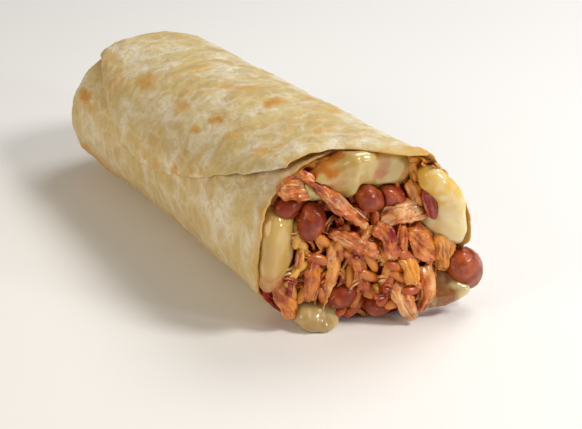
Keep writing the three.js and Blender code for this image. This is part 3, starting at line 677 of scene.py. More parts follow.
def matt_board():
    """Matt white board: no gloss, so that it shows only the soft shadow under the food."""
    material, tree, shader = surface("matt_white_board", Roughness=0.9, Specular_IOR_Level=0.1)
    place = node(tree, "TexCoord", out="Object")
    shade = node(tree, "TexNoise", Vector=place, Scale=1 / (120 * MM), Detail=2.0)
    colour = node(tree, "Mix", COLOUR, 2, i0=shade, i6=BOARD_SHADES[0], i7=BOARD_SHADES[1])
    tree.links.new(colour, shader.inputs["Base Color"])
    return material


# ---- settings ------------------------------------------------------------------------------------

def length_setting(name, description, default, low, high):
    return bpy.props.FloatProperty(
        name=name, description=description, default=default * MM, min=low * MM, max=high * MM,
        subtype="DISTANCE", unit="LENGTH", precision=5,
    )


def colour_setting(name, description, code):
    return bpy.props.FloatVectorProperty(
        name=name, description=description, default=linear(code, alpha=False), subtype="COLOR", min=0, max=1,
    )


def share_setting(name, description, default):
    return bpy.props.FloatProperty(
        name=name, description=description, default=default, min=0, max=2, subtype="FACTOR",
    )


class BurritoTortilla(bpy.types.PropertyGroup):
    thickness: length_setting("Thickness", "How thick the tortilla is", 1.8, 1.0, 3.0)
    relief: length_setting("Relief", "How high its bumps and wrinkles are", 0.6, 0.0, 1.5)
    step: length_setting("Mesh step", "The distance between neighbouring points of its skin", 0.65, 0.4, 3.0)
    toasting: share_setting("Toasting", "How dark the griddle's spots are", 1.0)
    dough: colour_setting("Dough", "The dough's own cream colour", "#DCC78E")
    flour: colour_setting("Flour", "The palest patches and ridges", "#EFE8D2")
    tan: colour_setting("Tan", "The mottling", "#C9AB6C")
    blister: colour_setting("Blister", "The dry skin on the blisters", "#CDB078")
    golden: colour_setting("Golden", "The edge of a toasted spot", "#DAAE68")
    brown: colour_setting("Brown", "The middle of a toasted spot", "#CA9450")
    fat: colour_setting("Fat", "Where the filling's fat has soaked in", "#D9A850")


class BurritoFilling(bpy.types.PropertyGroup):
    voxel: length_setting("Mesh step", "The distance between neighbouring points", 0.34, 0.2, 1.0)
    grain_long: length_setting("Grain length", "How long a cooked grain of rice is", 8.4, 5.0, 10.0)
    grain_wide: length_setting("Grain width", "How wide a cooked grain of rice is", 3.2, 1.5, 4.0)
    grains: bpy.props.IntProperty(
        name="Grains", description="How many loose grains of rice are tried", default=520, min=0, max=2000,
    )
    shreds: bpy.props.IntProperty(
        name="Shreds", description="How many small shreds of chicken are tried", default=700, min=0, max=2000,
    )
    crumbs: bpy.props.IntProperty(
        name="Crumbs", description="How many crumbs lie on the filling", default=260, min=0, max=2000,
    )
    skin: colour_setting("Bean", "The beans' skin", "#872C0A")
    skin_light: colour_setting("Bean, light", "The palest patches of the beans' skin", "#B85624")
    skin_dark: colour_setting("Bean, dark", "The streaks of the beans' skin", "#66190A")
    meat: colour_setting("Meat", "The palest chicken", "#EDB477")
    meat_orange: colour_setting("Meat, orange", "Chicken that the sauce has stained", "#D46C1E")
    meat_red: colour_setting("Meat, red", "Chicken that is soaked in sauce", "#9A1702")
    meat_gold: colour_setting("Meat, gold", "Chicken under melted cheese", "#F0A02E")
    grain: colour_setting("Rice", "The palest grains", "#F2B84C")
    grain_orange: colour_setting("Rice, orange", "Most of the grains", "#DC8830")
    grain_red: colour_setting("Rice, red", "Grains that are soaked in sauce", "#B8501C")
    sauce: colour_setting("Sauce", "The sauce where it is thin", "#9C1401")
    sauce_deep: colour_setting("Sauce, deep", "The sauce in the hollows", "#640500")
    sauce_light: colour_setting("Sauce, light", "The lumps that stand out of the sauce", "#C25A1A")


class BurritoStage(bpy.types.PropertyGroup):
    focal: bpy.props.FloatProperty(
        name="Focal length", description="The camera's focal length on a 36 mm sensor, in millimetres",
        default=101.75, min=20, max=300,
    )
    key: bpy.props.FloatProperty(
        name="Key light", description="Power of the soft light above", default=3.6, min=0, max=200,
        subtype="POWER", unit="POWER",
    )
    fill: bpy.props.FloatProperty(
        name="Fill light", description="Power of the soft warm light at the side", default=1.45, min=0,
        max=200, subtype="POWER", unit="POWER",
    )
    sky: share_setting("Sky", "Strength of the even light from all around", 0.2)


# ---- the tortilla --------------------------------------------------------------------------------

# Large toasted spots: (along the roll, angle round it, half length, half width, turn, strength).
TOASTED = [
    (-32, 126, 4.7, 2.4, 5, 0.75), (-31, 122, 2.8, 1.4, 12, 0.6), (-47, 134, 7.0, 3.3, 16, 0.4),
    (-46, 142, 3.4, 1.7, 5, 0.4), (-4, 127, 4.6, 2.3, 10, 0.55), (17, 123, 3.3, 1.5, 165, 0.95),
    (13, 135, 2.4, 1.3, 5, 0.8), (24, 92, 3.4, 2.0, 25, 1.0), (32, 127, 4.7, 1.7, 165, 0.5),
    (50, 125, 4.8, 1.6, 160, 0.6), (54, 116, 1.9, 1.0, 10, 0.6), (-1, 99, 3.7, 2.0, 150, 0.6),
    (6, 92, 3.3, 2.0, 135, 0.65), (-23, 95, 3.4, 2.3, 150, 0.5), (40, 96, 3.3, 1.9, 140, 0.4),
    (55, 92, 3.7, 2.3, 130, 0.5), (46, 89, 3.1, 2.2, 130, 0.4), (38, 69, 4.1, 1.4, 45, 0.6),
    (24, 71, 3.6, 1.5, 55, 0.6), (-63, 158, 4.0, 2.6, 5, 1.0), (-56, 165, 2.3, 2.0, 30, 0.6),
    (-65, 202, 5.0, 1.8, 155, 0.8), (-16, 166, 3.6, 2.0, 165, 0.4), (-11, 170, 3.0, 1.3, 160, 0.55),
    (-3, 172, 2.1, 1.0, 160, 0.65), (11, 166, 1.7, 1.0, 160, 0.8), (22, 159, 2.3, 1.3, 165, 0.7),
    (27, 156, 1.8, 1.1, 175, 0.6), (58, 161, 1.9, 1.2, 50, 0.5), (59, 123, 1.5, 0.8, 0, 0.6),
    (-64, 123, 7.5, 3.6, 5, 0.35), (50, 179, 2.8, 1.1, 95, 0.35), (-8, 118, 2.8, 1.2, 165, 0.4),
    (66, 85, 1.9, 1.7, 65, 0.45),
]
PER_DEGREE = math.pi * (HALF_WIDTH[1] + HALF_HEIGHT[1]) / 360  # the arc of one degree, in millimetres
SMALL_SPOTS = 190
SHOWN_SIDE = (60, 200)  # the angles between which the large spots lie, so that only specks are added there
SPOT_RAGGED = (1.3, 3.1)  # how far a spot's edge wanders, and over what length
# Blisters sit this far apart along the roll and round it.
BLISTER_LONG = 8.0
BLISTER_WIDE = 6.0


def on_line(place):
    """Places for noise that changes in one direction."""
    return np.stack([place, np.zeros_like(place), np.zeros_like(place)], -1)


def on_sheet(x, angle, long, wide):
    """Places on the sheet for noise with features of a size along the roll and a size round it."""
    return np.stack([x / long, angle * PER_DEGREE / wide, np.zeros_like(x)], -1)


def toasting(x, angle):
    """How toasted the skin is: the large spots, and smaller ones all round the roll."""
    random = np.random.default_rng(4)
    rows = [list(row) for row in TOASTED]
    for _ in range(SMALL_SPOTS):
        along, turn = random.uniform(-78, 78), random.uniform(0, 360)
        shown = SHOWN_SIDE[0] < turn < SHOWN_SIDE[1]
        half = random.uniform(0.7, 1.7) if shown else random.uniform(1.0, 4.2)
        strength = random.uniform(0.15, 0.5) if shown else random.uniform(0.25, 0.95)
        rows.append([along, turn, half, half * random.uniform(0.45, 0.9), random.uniform(0, 180), strength])
    wander, size = SPOT_RAGGED
    warp = on_sheet(x, angle, size, size)
    shift, lean = wander * layered(warp), wander * layered(warp + 31.7)
    total = np.zeros_like(x)
    for along, turn, half, narrow, tilt, strength in rows:
        dx = x - along + shift
        da = angle_from(turn, angle) * PER_DEGREE + lean
        c, s = math.cos(math.radians(tilt)), math.sin(math.radians(tilt))
        far = ((dx * c + da * s) / half) ** 2 + ((da * c - dx * s) / narrow) ** 2
        total = np.maximum(total, strength * np.exp(-0.5 * far**1.3))
    return total


def skin_relief(x, angle, height, seed):
    """The skin's relief in millimetres, its tan (blisters, and low on the sides partly painted shade) and its
    pale ridges, at depths and angles.
    """
    sheet = np.stack([x, angle * PER_DEGREE, np.zeros_like(x) + seed * 9.1], -1)
    # The blisters are pushed out of line by slow noise.
    columns = round(360 * PER_DEGREE / BLISTER_WIDE)
    along = x / BLISTER_LONG + 0.55 * layered(sheet / 9, 2)
    across = angle / 360 * columns + 0.55 * layered(sheet / 9 + 40, 2)
    middle, border, own = cells(across, along + 40, columns, seed)
    blister = smooth(0.62 - middle, 0.0, 0.42) * smooth(own, 0.25, 0.9)
    ridge = hump(border, 0, 0.13) * smooth(layered(sheet / 12 + 80, 2), -0.25, 0.4)
    pillows = layered(sheet / (9, 7, 1), 3)
    wrinkles = np.clip(1 - np.abs(noise(sheet / (5.5, 12, 1) + 3.7)) * 2.4, -0.3, 1)
    streaks = layered(sheet / (1.7, 11, 1) + 5.5, 3)  # the rolling draws the dough round the roll
    fine = layered(sheet / 2.1, 2)
    raised = 0.42 * pillows + 0.26 * wrinkles + 0.5 * blister + 0.42 * ridge + 0.14 * fine + 0.1 * streaks
    # Low on the sides the skin is more evenly tan, partly its own colour and partly painted warm shade, with
    # pale streaks round the roll.
    low = smooth(angle % 360, 165, 200) * (1 - smooth(angle % 360, 330, 350))
    streaked = 0.5 * smooth(streaks, 0.05, 0.7) * (0.25 + 0.75 * low)
    tan = blister * (1.1 - 0.6 * low) + streaked + 0.6 * low
    pale = np.maximum(ridge, 0.55 * smooth(-streaks, 0.1, 0.7) * (0.2 + 0.8 * low))
    return height * raised, np.minimum(0.58 * tan, 1), 0.5 * pale


def steps_between(low, high, step, edge):
    """Places from low to high, a step apart, with closer ones where the sheet's rim rounds off."""
    close = edge * (1 - np.cos(np.linspace(0, math.pi / 2, 5)))
    inner = np.linspace(low + edge, high - edge, max(3, int((high - low - 2 * edge) / step)))
    return np.r_[low + close[:-1], inner, high - close[:-1][::-1]]


def fat_stain(x, angle, rim, spread):
    """Fat soaks furthest where the filling lies against the rim."""
    ragged = 2.2 * layered(on_sheet(x, angle, 5, 4))
    return smooth(x - rim_depth(rim, angle) + ragged, -spread, 1.5)


RIM_TURNS = np.radians([30, 60, 90, 120, 150, 180])  # round the inner turn's rim, from outside to inside
RIM_THIN = 0.31  # half the rim's thickness, as a share of the sheet's
INSIDE_SHOWN = 21  # how far the inside can be seen from the opening
INSIDE_HIDDEN_ROWS = 12
END_ROWS = 30
GREASED = (48, 60)  # from where to where along the roll the inside turns greasy


def inner_rows(angles, sheet, step):
    """The inner turn's rows of points: how far along the roll and inside its skin, and which are outside."""
    ring = np.stack([np.cos(np.radians(angles)), np.sin(np.radians(angles)), angles * 0], -1)
    rim = rim_depth(INNER_RIM, angles) + 0.8 * layered(ring * 7)
    half = RIM_THIN * sheet
    closing = END_LENGTH * (1 - np.cos(np.linspace(0.04, 1, END_ROWS) * math.pi / 2))
    rows = [(CLOSED_END + depth, 0.0) for depth in closing]
    start = CLOSED_END + END_LENGTH
    count = int((rim.mean() - start) / step)
    rows += [(start + (rim - half - start) * k / count, 0.0) for k in range(1, count + 1)]
    outside = len(rows) + len(RIM_TURNS) // 2
    rows += [(rim - half + half * math.sin(turn), half - half * math.cos(turn)) for turn in RIM_TURNS]
    for k in range(1, INSIDE_SHOWN + 1):
        rows.append((rim - half - k, 2 * half + (sheet - 2 * half) * smooth(k, 0, 5)))
    inside, inside_end = rim - half - INSIDE_SHOWN, CLOSED_END + sheet + 1.0
    for k in range(1, INSIDE_HIDDEN_ROWS + 1):
        rows.append((inside + (inside_end - inside) * k / INSIDE_HIDDEN_ROWS, sheet))
    x = np.array([np.broadcast_to(depth, angles.shape) for depth, _ in rows])
    inset = np.array([np.full(angles.shape, inwards) for _, inwards in rows])
    return x, inset, np.arange(len(rows))[:, None] < outside


def make_inner_turn(look):
    """The inner turn: a cup from the tip of the closed end to its ragged rim, and back inside it."""
    sheet, step = look.thickness / MM, look.step / MM
    angles = np.linspace(0, 360, int(360 * PER_DEGREE / step), endpoint=False)
    x, inset, outside = inner_rows(angles, sheet, step)
    angle = np.broadcast_to(angles, x.shape)
    place = roll_point(x, angle, inset)
    height, blister, ridge = skin_relief(x, angle, look.relief / MM, 3)
    toast = look.toasting * toasting(x, angle)
    # Where the rings draw together at the closed end, the skin's pattern fades into its wrinkles.
    cap = smooth(x, CLOSED_END + 1, CLOSED_END + 8)
    crumple = layered(place / 5.5, 3)
    toast, blister = toast * cap, blister * cap + 0.4 * (1 - cap) * smooth(crumple, 0, 0.6)
    ridge = ridge * cap + 0.5 * (1 - cap) * smooth(-crumple, 0.1, 0.6)
    low = smooth(place[..., 2], 0.4, 3.0)  # it lies flat on what is under it
    height = (height + 0.2 * toast) * smooth(x, CLOSED_END + 1, CLOSED_END + 14) * low
    points = roll_point(x, angle, inset - height)
    points[..., 0] -= 0.6 * crumple * (1 - cap) * smooth(x, CLOSED_END, CLOSED_END + 0.7) * low
    fat = np.maximum(fat_stain(x, angle, INNER_RIM, 5), np.where(outside, 0, smooth(x, *GREASED)))
    values = {"toast": np.where(outside, toast, 0.25 * toast), "fat": fat, "blister": blister, "ridge": ridge}
    values = {key: np.r_[v.ravel(), 0, 0] for key, v in values.items()}
    tips = [roll_point(CLOSED_END, 0, 0), roll_point(CLOSED_END + sheet, 0, sheet)]
    points = np.vstack([points.reshape(-1, 3), *tips])
    return mesh_from("tortilla_inner_turn", points, closed_faces(*x.shape), **values)


TORN_SIDE = (52, 26)  # the middle and the spread of the angles where the outer rim is torn ragged
SHEET_EDGE = 0.8  # the width of the closer points along the sheet's edges
EDGE_THINS = 5.0  # the sheet thins out over this width
EDGE_ROUNDS = 0.7


def make_outer_turn(look):
    """The outer turn: a sheet that leaves the inner one low on the +y side and ends in the flap."""
    sheet, step = look.thickness / MM, look.step / MM
    closed, opened = FLAP_EDGE[0][0], rim_depth(OUTER_RIM, 90.0)
    # u runs along the sheet from the closed end to the rim, and v round the roll to the flap's edge.
    long, wide = opened - closed, (FLAP_WIDEST - FLAP_START) * PER_DEGREE
    u = (steps_between(0, long, step, SHEET_EDGE) / long)[:, None]
    v = (steps_between(0, wide, step, SHEET_EDGE) / wide)[None, :]
    edge = through(FLAP_EDGE, closed + (FACE_DEPTH - closed) * u)
    ragged = 0.9 * layered(on_line(u * 26))
    angle = FLAP_START + (edge + ragged / PER_DEGREE - FLAP_START) * v
    frayed = 0.8 + 1.2 * hump(angle, *TORN_SIDE)
    rim = rim_depth(OUTER_RIM, angle) + frayed * layered(on_line(angle * PER_DEGREE / 5))
    x = closed + (rim - closed) * u
    at_tip = TORN_TIP["lift"] * hump(angle, TORN_TIP["angle"], TORN_TIP["spread"])
    curled = at_tip * smooth(x, TORN_TIP["from"], TORN_TIP["to"])
    lift = FLAP_LIFT * smooth(v, 0.8, 1) * smooth(x, *FLAP_LIFTS) + curled
    settle = smooth(v, 0, 0.12)
    # The sheet thins out towards its edge, which is round.
    to_edge = np.minimum(np.minimum((1 - v) * wide, (1 - u) * long), u * long)
    thin = 0.3 + 0.7 * smooth(to_edge, 0, EDGE_THINS)
    rounded = np.sqrt(np.clip(1 - (1 - np.clip(to_edge / EDGE_ROUNDS, 0, 1)) ** 2, 0, 1))
    half = sheet / 2 * thin * rounded
    toast = look.toasting * toasting(x, angle)
    height, blister, ridge = skin_relief(x, angle, look.relief / MM, 8)
    height = height * smooth(v, 0, 0.1)
    curl = 0.6 * noise(on_sheet(x, angle, 9, 9)) * smooth(lift, 0.2, 1.5)
    middle = (FLAP_BED + sheet / 2) * settle + lift + height + curl
    outer = roll_point(x, angle, -(middle + (half + 0.2 * toast) * settle))
    inner = roll_point(x, angle, -(middle - half * settle - 0.5 * height))
    rows, columns = x.shape
    count = rows * columns
    faces = grid_faces(rows, columns) + grid_faces(rows, columns, offset=count, flip=True)
    order = np.arange(count).reshape(rows, columns)
    border = np.r_[order[0], order[1:, -1], order[-1, -2::-1], order[-2:0:-1, 0]].tolist()
    for here, following in zip(border, border[1:] + border[:1]):
        faces.append((count + here, count + following, following, here))
    # The torn corner is soaked and toasted, and the sheet's underside is greasy near the opening.
    fat = fat_stain(x, angle, OUTER_RIM, 3.5) * 0.8
    mottle = layered(on_sheet(x, angle, 2.4, 3 * PER_DEGREE))
    tip = hump(angle, TORN_TIP["angle"], 13) * smooth(rim - x, 12, 3)
    fat = np.maximum(fat, tip * (1.2 + 0.5 * mottle))
    toast = np.maximum(toast, 0.9 * smooth(mottle, 0.15, 0.7) * smooth(tip, 0.3, 0.9))
    sides = {
        "toast": (toast, np.maximum(0.3 * toast, 0.45 * tip)),
        "fat": (fat, np.maximum(fat, 1.1 * smooth(x, 45, 60))),
        "blister": (blister, blister),
        "ridge": (ridge, ridge),
    }
    values = {key: np.r_[top.ravel(), under.ravel()] for key, (top, under) in sides.items()}
    points = np.vstack([outer.reshape(-1, 3), inner.reshape(-1, 3)])
    return mesh_from("tortilla_outer_turn", points, faces, **values)


class BURRITO_OT_tortilla(bpy.types.Operator):
    """Makes the two turns of the tortilla, with its rims, flap, wrinkles and toasted blisters"""

    bl_idname = "burrito.tortilla"
    bl_label = "Tortilla"

    def execute(self, context):
        look = context.scene.burrito_tortilla
        material = toasted_tortilla(look)
        piece("tortilla_inner_turn", make_inner_turn(look), material, "tortilla", "tortilla")
        piece("tortilla_outer_turn", make_outer_turn(look), material, "tortilla", "tortilla")
        return {"FINISHED"}


# ---- the filling ---------------------------------------------------------------------------------

# Each cheese: its colour where it is thick, where it is thin, and where the sauce shows through it.
CHEESE = {
    "cheese_left": ("#D4B66E", "#BE9244", "#C07026"),
    "cheese_top": ("#D2BC78", "#BE9C4C", "#C87A2A"),
    "cheese_right": ("#EFDDAE", "#EBCF86", "#EEC75C"),
    "cheese_low_left": ("#CAB27A", "#A07838", "#8A5218"),
    "cheese_low_right": ("#DCD09C", "#A87E3C", "#9A5E20"),
}
# How far sauce has stained each piece of chicken, from pale (0) to red (1), and how far cheese has gilded it.
CHICKEN = {
    # chicken_shadow's and chicken_crust's red stains are partly sauce and partly painted shade.
    "chicken_long": (0.42, 0.1), "chicken_chunk": (0.3, 0.1), "chicken_shadow": (0.85, 0.0),
    "chicken_crust": (0.52, 0.0), "chicken_light": (0.02, 0.0), "chicken_curl": (0.62, 0.1),
    "chicken_fold": (0.62, 0.1), "chicken_wide": (0.55, 0.5), "chicken_frayed": (0.2, 0.95),
    "chicken_hanging": (0.3, 0.2), "chicken_leg": (0.08, 0.1), "chicken_block": (0.1, 1.0),
    "chicken_upright": (0.05, 0.7), "chicken_crumb": (0.5, 0.4), "chicken_corner": (0.55, 0.4),
    "chicken_ribbed": (0.55, 0.4), "chicken_red": (1.0, 0.0), "chicken_gold": (0.15, 1.0),
    "chicken_slice": (0.4, 0.6),
}
HIDDEN_DEPTH = 50.0  # behind this the filling can't be seen, so its mesh is coarser


def coarser_behind(mesh, share_kept):
    """Thins a mesh out where the roll hides it."""
    points, _ = points_and_normals(mesh)
    behind = np.nonzero(points[:, 0] < HIDDEN_DEPTH)[0].tolist()
    return reshaped(mesh, ("DECIMATE", {"ratio": share_kept, "vertex_group": "chosen"}), chosen=behind)


CLINGS = 2.8  # how far cheese under the tortilla fills up to it
CLINGS_LOW = 1.0  # and cheese that has run out low down
CHEESE_ROUNDING = 8  # rounds of smoothing that soften its creases
KEPT_BEHIND = 0.35  # the share of its faces that the cheese keeps where it is hidden


def cheese_form(name, points, normals):
    """How far melted cheese swells at each point in millimetres, and how clear it is there, which on the low
    right one also paints shade.
    """
    folds = np.abs(noise(points / (9, 4.5, 9) + 4)) * smooth(normals[:, 0], 0.1, 0.6)
    swell = 0.2 + 0.7 * layered(points / 6.5, 2) + 0.9 * folds + 0.15 * noise(points / 2.4)
    clear = 0.6 * smooth(normals[:, 0], 0.5, -0.2) + 0.6 * layered(points / 4.5 + 9, 2)
    if name == "cheese_left":  # it has sagged into one smooth drape, thinner lower down
        swell = 0.1 + 0.5 * noise(points / 8)
        clear = smooth(points[:, 2], 34, 14) - 0.25 + 0.4 * noise(points / 7)
    if name == "cheese_top":  # it drips, fills up to the tortilla over it and thins out to the right
        drips = noise(points / (30, 4.2, 30) + 11)
        swell += 1.2 * smooth(normals[:, 2], 0.2, 0.9)
        swell += 0.8 * drips * smooth(normals[:, 0], 0.1, 0.6) + 0.9 * drips * smooth(-normals[:, 2], 0, 0.6)
        windows = 0.8 * smooth(noise(points / (30, 5, 30) + 2.3), -0.3, 0.6)
        clear += 0.8 * smooth(points[:, 1], 7, 12) + windows * smooth(points[:, 2], 46, 50)
    if name == "cheese_right":  # its upper part is a film on the tortilla
        clear += smooth(points[:, 2], 30, 40) - 0.3
    # The low right cheese is amber towards -y, partly where sauce shows through and partly as painted shade
    # under bean_right.
    if name == "cheese_low_right":
        clear += 0.9 * smooth(points[:, 1], 28, 22)
    outwards = points[:, 1:] + BOX_CENTRE[1:] - (SWAY[2], FACE_MIDDLE)
    outwards /= np.linalg.norm(outwards, axis=1, keepdims=True)
    facing = (normals[:, 1:] * outwards).sum(1)
    swell += (CLINGS_LOW if "low" in name else CLINGS) * smooth(facing, -0.9, 1.0)
    if name == "cheese_top":  # the long strand of chicken lies over its left end
        swell *= 1 - 0.95 * smooth(points[:, 1], -7, -13)
    return swell * smooth(points[:, 0], HIDDEN_DEPTH, HIDDEN_DEPTH + 8), np.clip(clear, 0, 1)


class BURRITO_OT_cheese(bpy.types.Operator):
    """Melts the cheese: rounded, sagging and glossy"""

    bl_idname = "burrito.cheese"
    bl_label = "Cheese"

    def execute(self, context):
        look = context.scene.burrito_filling
        for name, colours in CHEESE.items():
            mesh = softened(name, look.voxel)
            points, normals = points_and_normals(mesh)
            swell, clear = cheese_form(name, points, normals)
            points = points + normals * swell[:, None]
            if "low" not in name:
                points = under_tortilla(points)
            points[:, 2] = np.maximum(points[:, 2], 0.1)
            set_points(mesh, points)
            set_values(mesh, clear=clear)
            mesh = coarser_behind(reshaped(mesh, rounding(CHEESE_ROUNDING)), KEPT_BEHIND)
            piece("melted_" + name, mesh, melted_cheese("melted_" + name, *colours), "cheese", name)
        return {"FINISHED"}


class BURRITO_OT_beans(bpy.types.Operator):
    """Rounds the beans, with a taut skin that is slightly dimpled"""

    bl_idname = "burrito.beans"
    bl_label = "Beans"

    def execute(self, context):
        look = context.scene.burrito_filling
        material = boiled_bean(look)
        for name in sorted(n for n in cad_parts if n.startswith("bean_")):
            mesh = softened(name, look.voxel)
            points, normals = points_and_normals(mesh)
            dimples = 0.12 + 0.14 * layered(points / 3.4, 2)
            set_points(mesh, points + normals * dimples[:, None])
            piece("pinto_" + name, mesh, material, "bean", name)
        return {"FINISHED"}


def fibres_along(points):
    """Each point's place along a piece's grain and across it, for a piece that may be bent."""
    centre = points.mean(0)
    _, _, axes = np.linalg.svd(points - centre, full_matrices=False)
    local = (points - centre) @ axes.T
    bent = [local[:, k] - np.polyval(np.polyfit(local[:, 0], local[:, k], 2), local[:, 0]) for k in (1, 2)]
    return local[:, 0], bent[0], bent[1], axes


# The loose fibres on a piece of chicken.
FIBRES_EACH = 2
FIBRES_PER_LENGTH = 0.12  # and this many more for each millimetre of the piece
FIBRE_POINTS = 10
FIBRE_SIDES = 5
FIBRE_RIDES = 0.12  # how far its middle lies above the meat
FIBRE_FREE = 0.7  # it stands free where the meat is further away than this


def surface_fibres(mesh, random, count):
    """Fibres that follow the surface of a piece of meat, and stand off it where they run past its end."""
    points, normals = points_and_normals(mesh)
    meat = BVHTree.FromPolygons(points.tolist(), [tuple(p.vertices) for p in mesh.polygons])
    along, _, _, axes = fibres_along(points)
    reach = along.max() - along.min()
    slim = 1 - 0.65 * np.linspace(-1, 1, FIBRE_POINTS) ** 2
    paths, radii = [], []
    for _ in range(count):
        start = random.integers(len(points))
        if normals[start, 0] < -0.2:  # it faces into the roll
            continue
        heading = axes[0] * (1 if random.random() < 0.5 else -1)
        step = random.uniform(0.35, 0.9) * min(reach, 12) / (FIBRE_POINTS - 1)
        swing = random.normal(size=3) * 0.12
        place, out, path = points[start], normals[start], []
        for k in range(FIBRE_POINTS):
            path.append(place + out * FIBRE_RIDES)
            ahead = place + (heading + swing * k / 5) * step
            near, normal, _, far = meat.find_nearest(Vector(ahead))
            if far < FIBRE_FREE:
                ahead, out = np.array(near), np.array(normal)
            place = ahead
        paths.append(np.array(path))
        radii.append(random.uniform(0.2, 0.42) * slim)
    return tubes(paths, radii, FIBRE_SIDES)


def joined(mesh, points, faces, **attributes):
    """A mesh with loose parts added to it."""
    base, _ = points_and_normals(mesh)
    own = [tuple(p.vertices) for p in mesh.polygons]
    moved = [tuple(i + len(base) for i in face) for face in faces]
    return mesh_from(mesh.name, np.vstack([base, points]), own + moved, **attributes)


def pulled(mesh, order, stain, gilt):
    """A piece of chicken pulled into fibres, with how sauced, gilded and raised it is at each point; the
    material paints shade where it is low.
    """
    points, normals = points_and_normals(mesh)
    along, wide, deep, _ = fibres_along(points)
    # Strands 2 mm wide and fibres of 0.6 mm run along the piece, and its skin is torn.
    across = np.stack([along * 0.05, wide * 0.5, deep * 0.5], -1) + 13.7 * order
    strands = 1 - 2.6 * np.abs(noise(across))
    fibres = layered(across * (1.5, 3.2, 3.2) + 5, 2)
    torn = layered(points / 3.8 + order, 3)
    height = 0.15 + 0.32 * np.clip(strands, -0.9, 1) + 0.12 * fibres + 0.5 * torn
    ragged = np.stack([layered(points / 4.5 + order + 50 * k, 2) for k in range(3)], -1)
    set_points(mesh, points + normals * height[:, None] + 0.7 * ragged * (0.4, 1, 1))
    count = int(FIBRES_EACH + FIBRES_PER_LENGTH * (along.max() - along.min()))
    loose, faces = surface_fibres(mesh, np.random.default_rng(50 + order), count)
    loose = np.array(loose)
    soaked = stain + 0.06 + 0.62 * (noise(points / 3.6 + order) + 0.3 * noise(points / 1.3 + order))
    gilded = gilt + 0.6 * noise(points / 3.0 + order + 20)
    # How raised each point is; the material paints shade in the grooves where this is low.
    raised = 0.62 + 0.34 * strands + 0.25 * fibres + 0.3 * torn
    grain = np.stack([0.14 * along, wide, deep], -1) + 7.3 * order
    return joined(
        mesh, loose, faces, grain=np.vstack([grain, loose]),
        tone=np.r_[soaked, stain - 0.15 + 0.5 * noise(loose / 2.8 + order)],
        gold=np.r_[gilded, np.full(len(loose), gilt)], ridge=np.r_[raised, np.full(len(loose), 0.8)],
    )


class BURRITO_OT_chicken(bpy.types.Operator):
    """Pulls the chicken into fibres that run along each piece and fray at its ends"""

    bl_idname = "burrito.chicken"
    bl_label = "Chicken"

    def execute(self, context):
        look = context.scene.burrito_filling
        material = pulled_chicken(look)
        for order, (name, (stain, gilt)) in enumerate(CHICKEN.items()):
            mesh = pulled(softened(name, look.voxel), order, stain, gilt)
            piece("pulled_" + name, mesh, material, "chicken", name)
        return {"FINISHED"}


# The larger grains on the face: (across, up, turn about the roll's axis, forward lean).
PLACED_RICE = [
    (-23.4, 22.6, 15, 0), (-24, 18.6, 5, 0), (-19.6, 18.8, 60, 10), (-17.6, 30.2, -50, 0),
    (-17.4, 25, 80, 0), (-4, 4.4, 55, 12), (3.2, 31, 20, 20), (24.6, 3.6, -10, 0),
    (28.4, 23.6, -40, 10), (27.4, 15.4, 75, 0), (7.8, 16.4, 88, 12), (5.4, 10.6, 8, 12),
    (0.4, 15.2, -70, 10), (11, 10.5, 60, 10), (21.4, 30, -30, 5),
]
# Where loose grains show most: (across, up, spread, share of the grains tried there that are kept).
RICE_PATCHES = [(-20, 20, 8, 1.0), (2, 15, 10, 0.9), (22, 6, 6, 0.7), (4, 29, 6, 0.4), (26, 20, 6, 0.5)]
# Dark hollows between the pieces, partly pooled sauce and partly painted shade, and a swell under the torn
# corner: (across, up, spread, depth).
HOLLOWS = [
    (-4.5, 39, 3.2, 3.5), (5, 19.5, 2.2, 3), (-15, 27.5, 2.2, 2.5), (11, 3.5, 2.5, 2.5), (-1, 33.5, 2.2, 2.5),
    (23.5, 48.5, 4.5, -6.0),
]
HOLLOW_BARE = 0.8  # no loose grain or shred lies where a hollow is deeper than this
CORE_SIDES = 220
CORE_INSET = 1.8  # the core's skin lies this far inside the roll's, against the tortilla
CORE_BULGE = 0.6  # how much of that it takes up near the rim, where it fills the thinner sheet
CORE_BARE_INSET = 0.9  # and past the rim


def hollow(across, up):
    """How deep the hollows between the pieces are at a place on the face."""
    return sum(d * np.exp(-(((across - a) ** 2 + (up - u) ** 2) / s**2)) for a, u, s, d in HOLLOWS)


def random_place(random, margin):
    """A random place (across, up) on the filling's face."""
    turn, far = random.uniform(0, 2 * math.pi), math.sqrt(random.random())
    across = math.cos(turn) * far * (HALF_WIDTH[2] - margin)
    return across, FACE_MIDDLE + math.sin(turn) * far * (FACE_MIDDLE - margin)


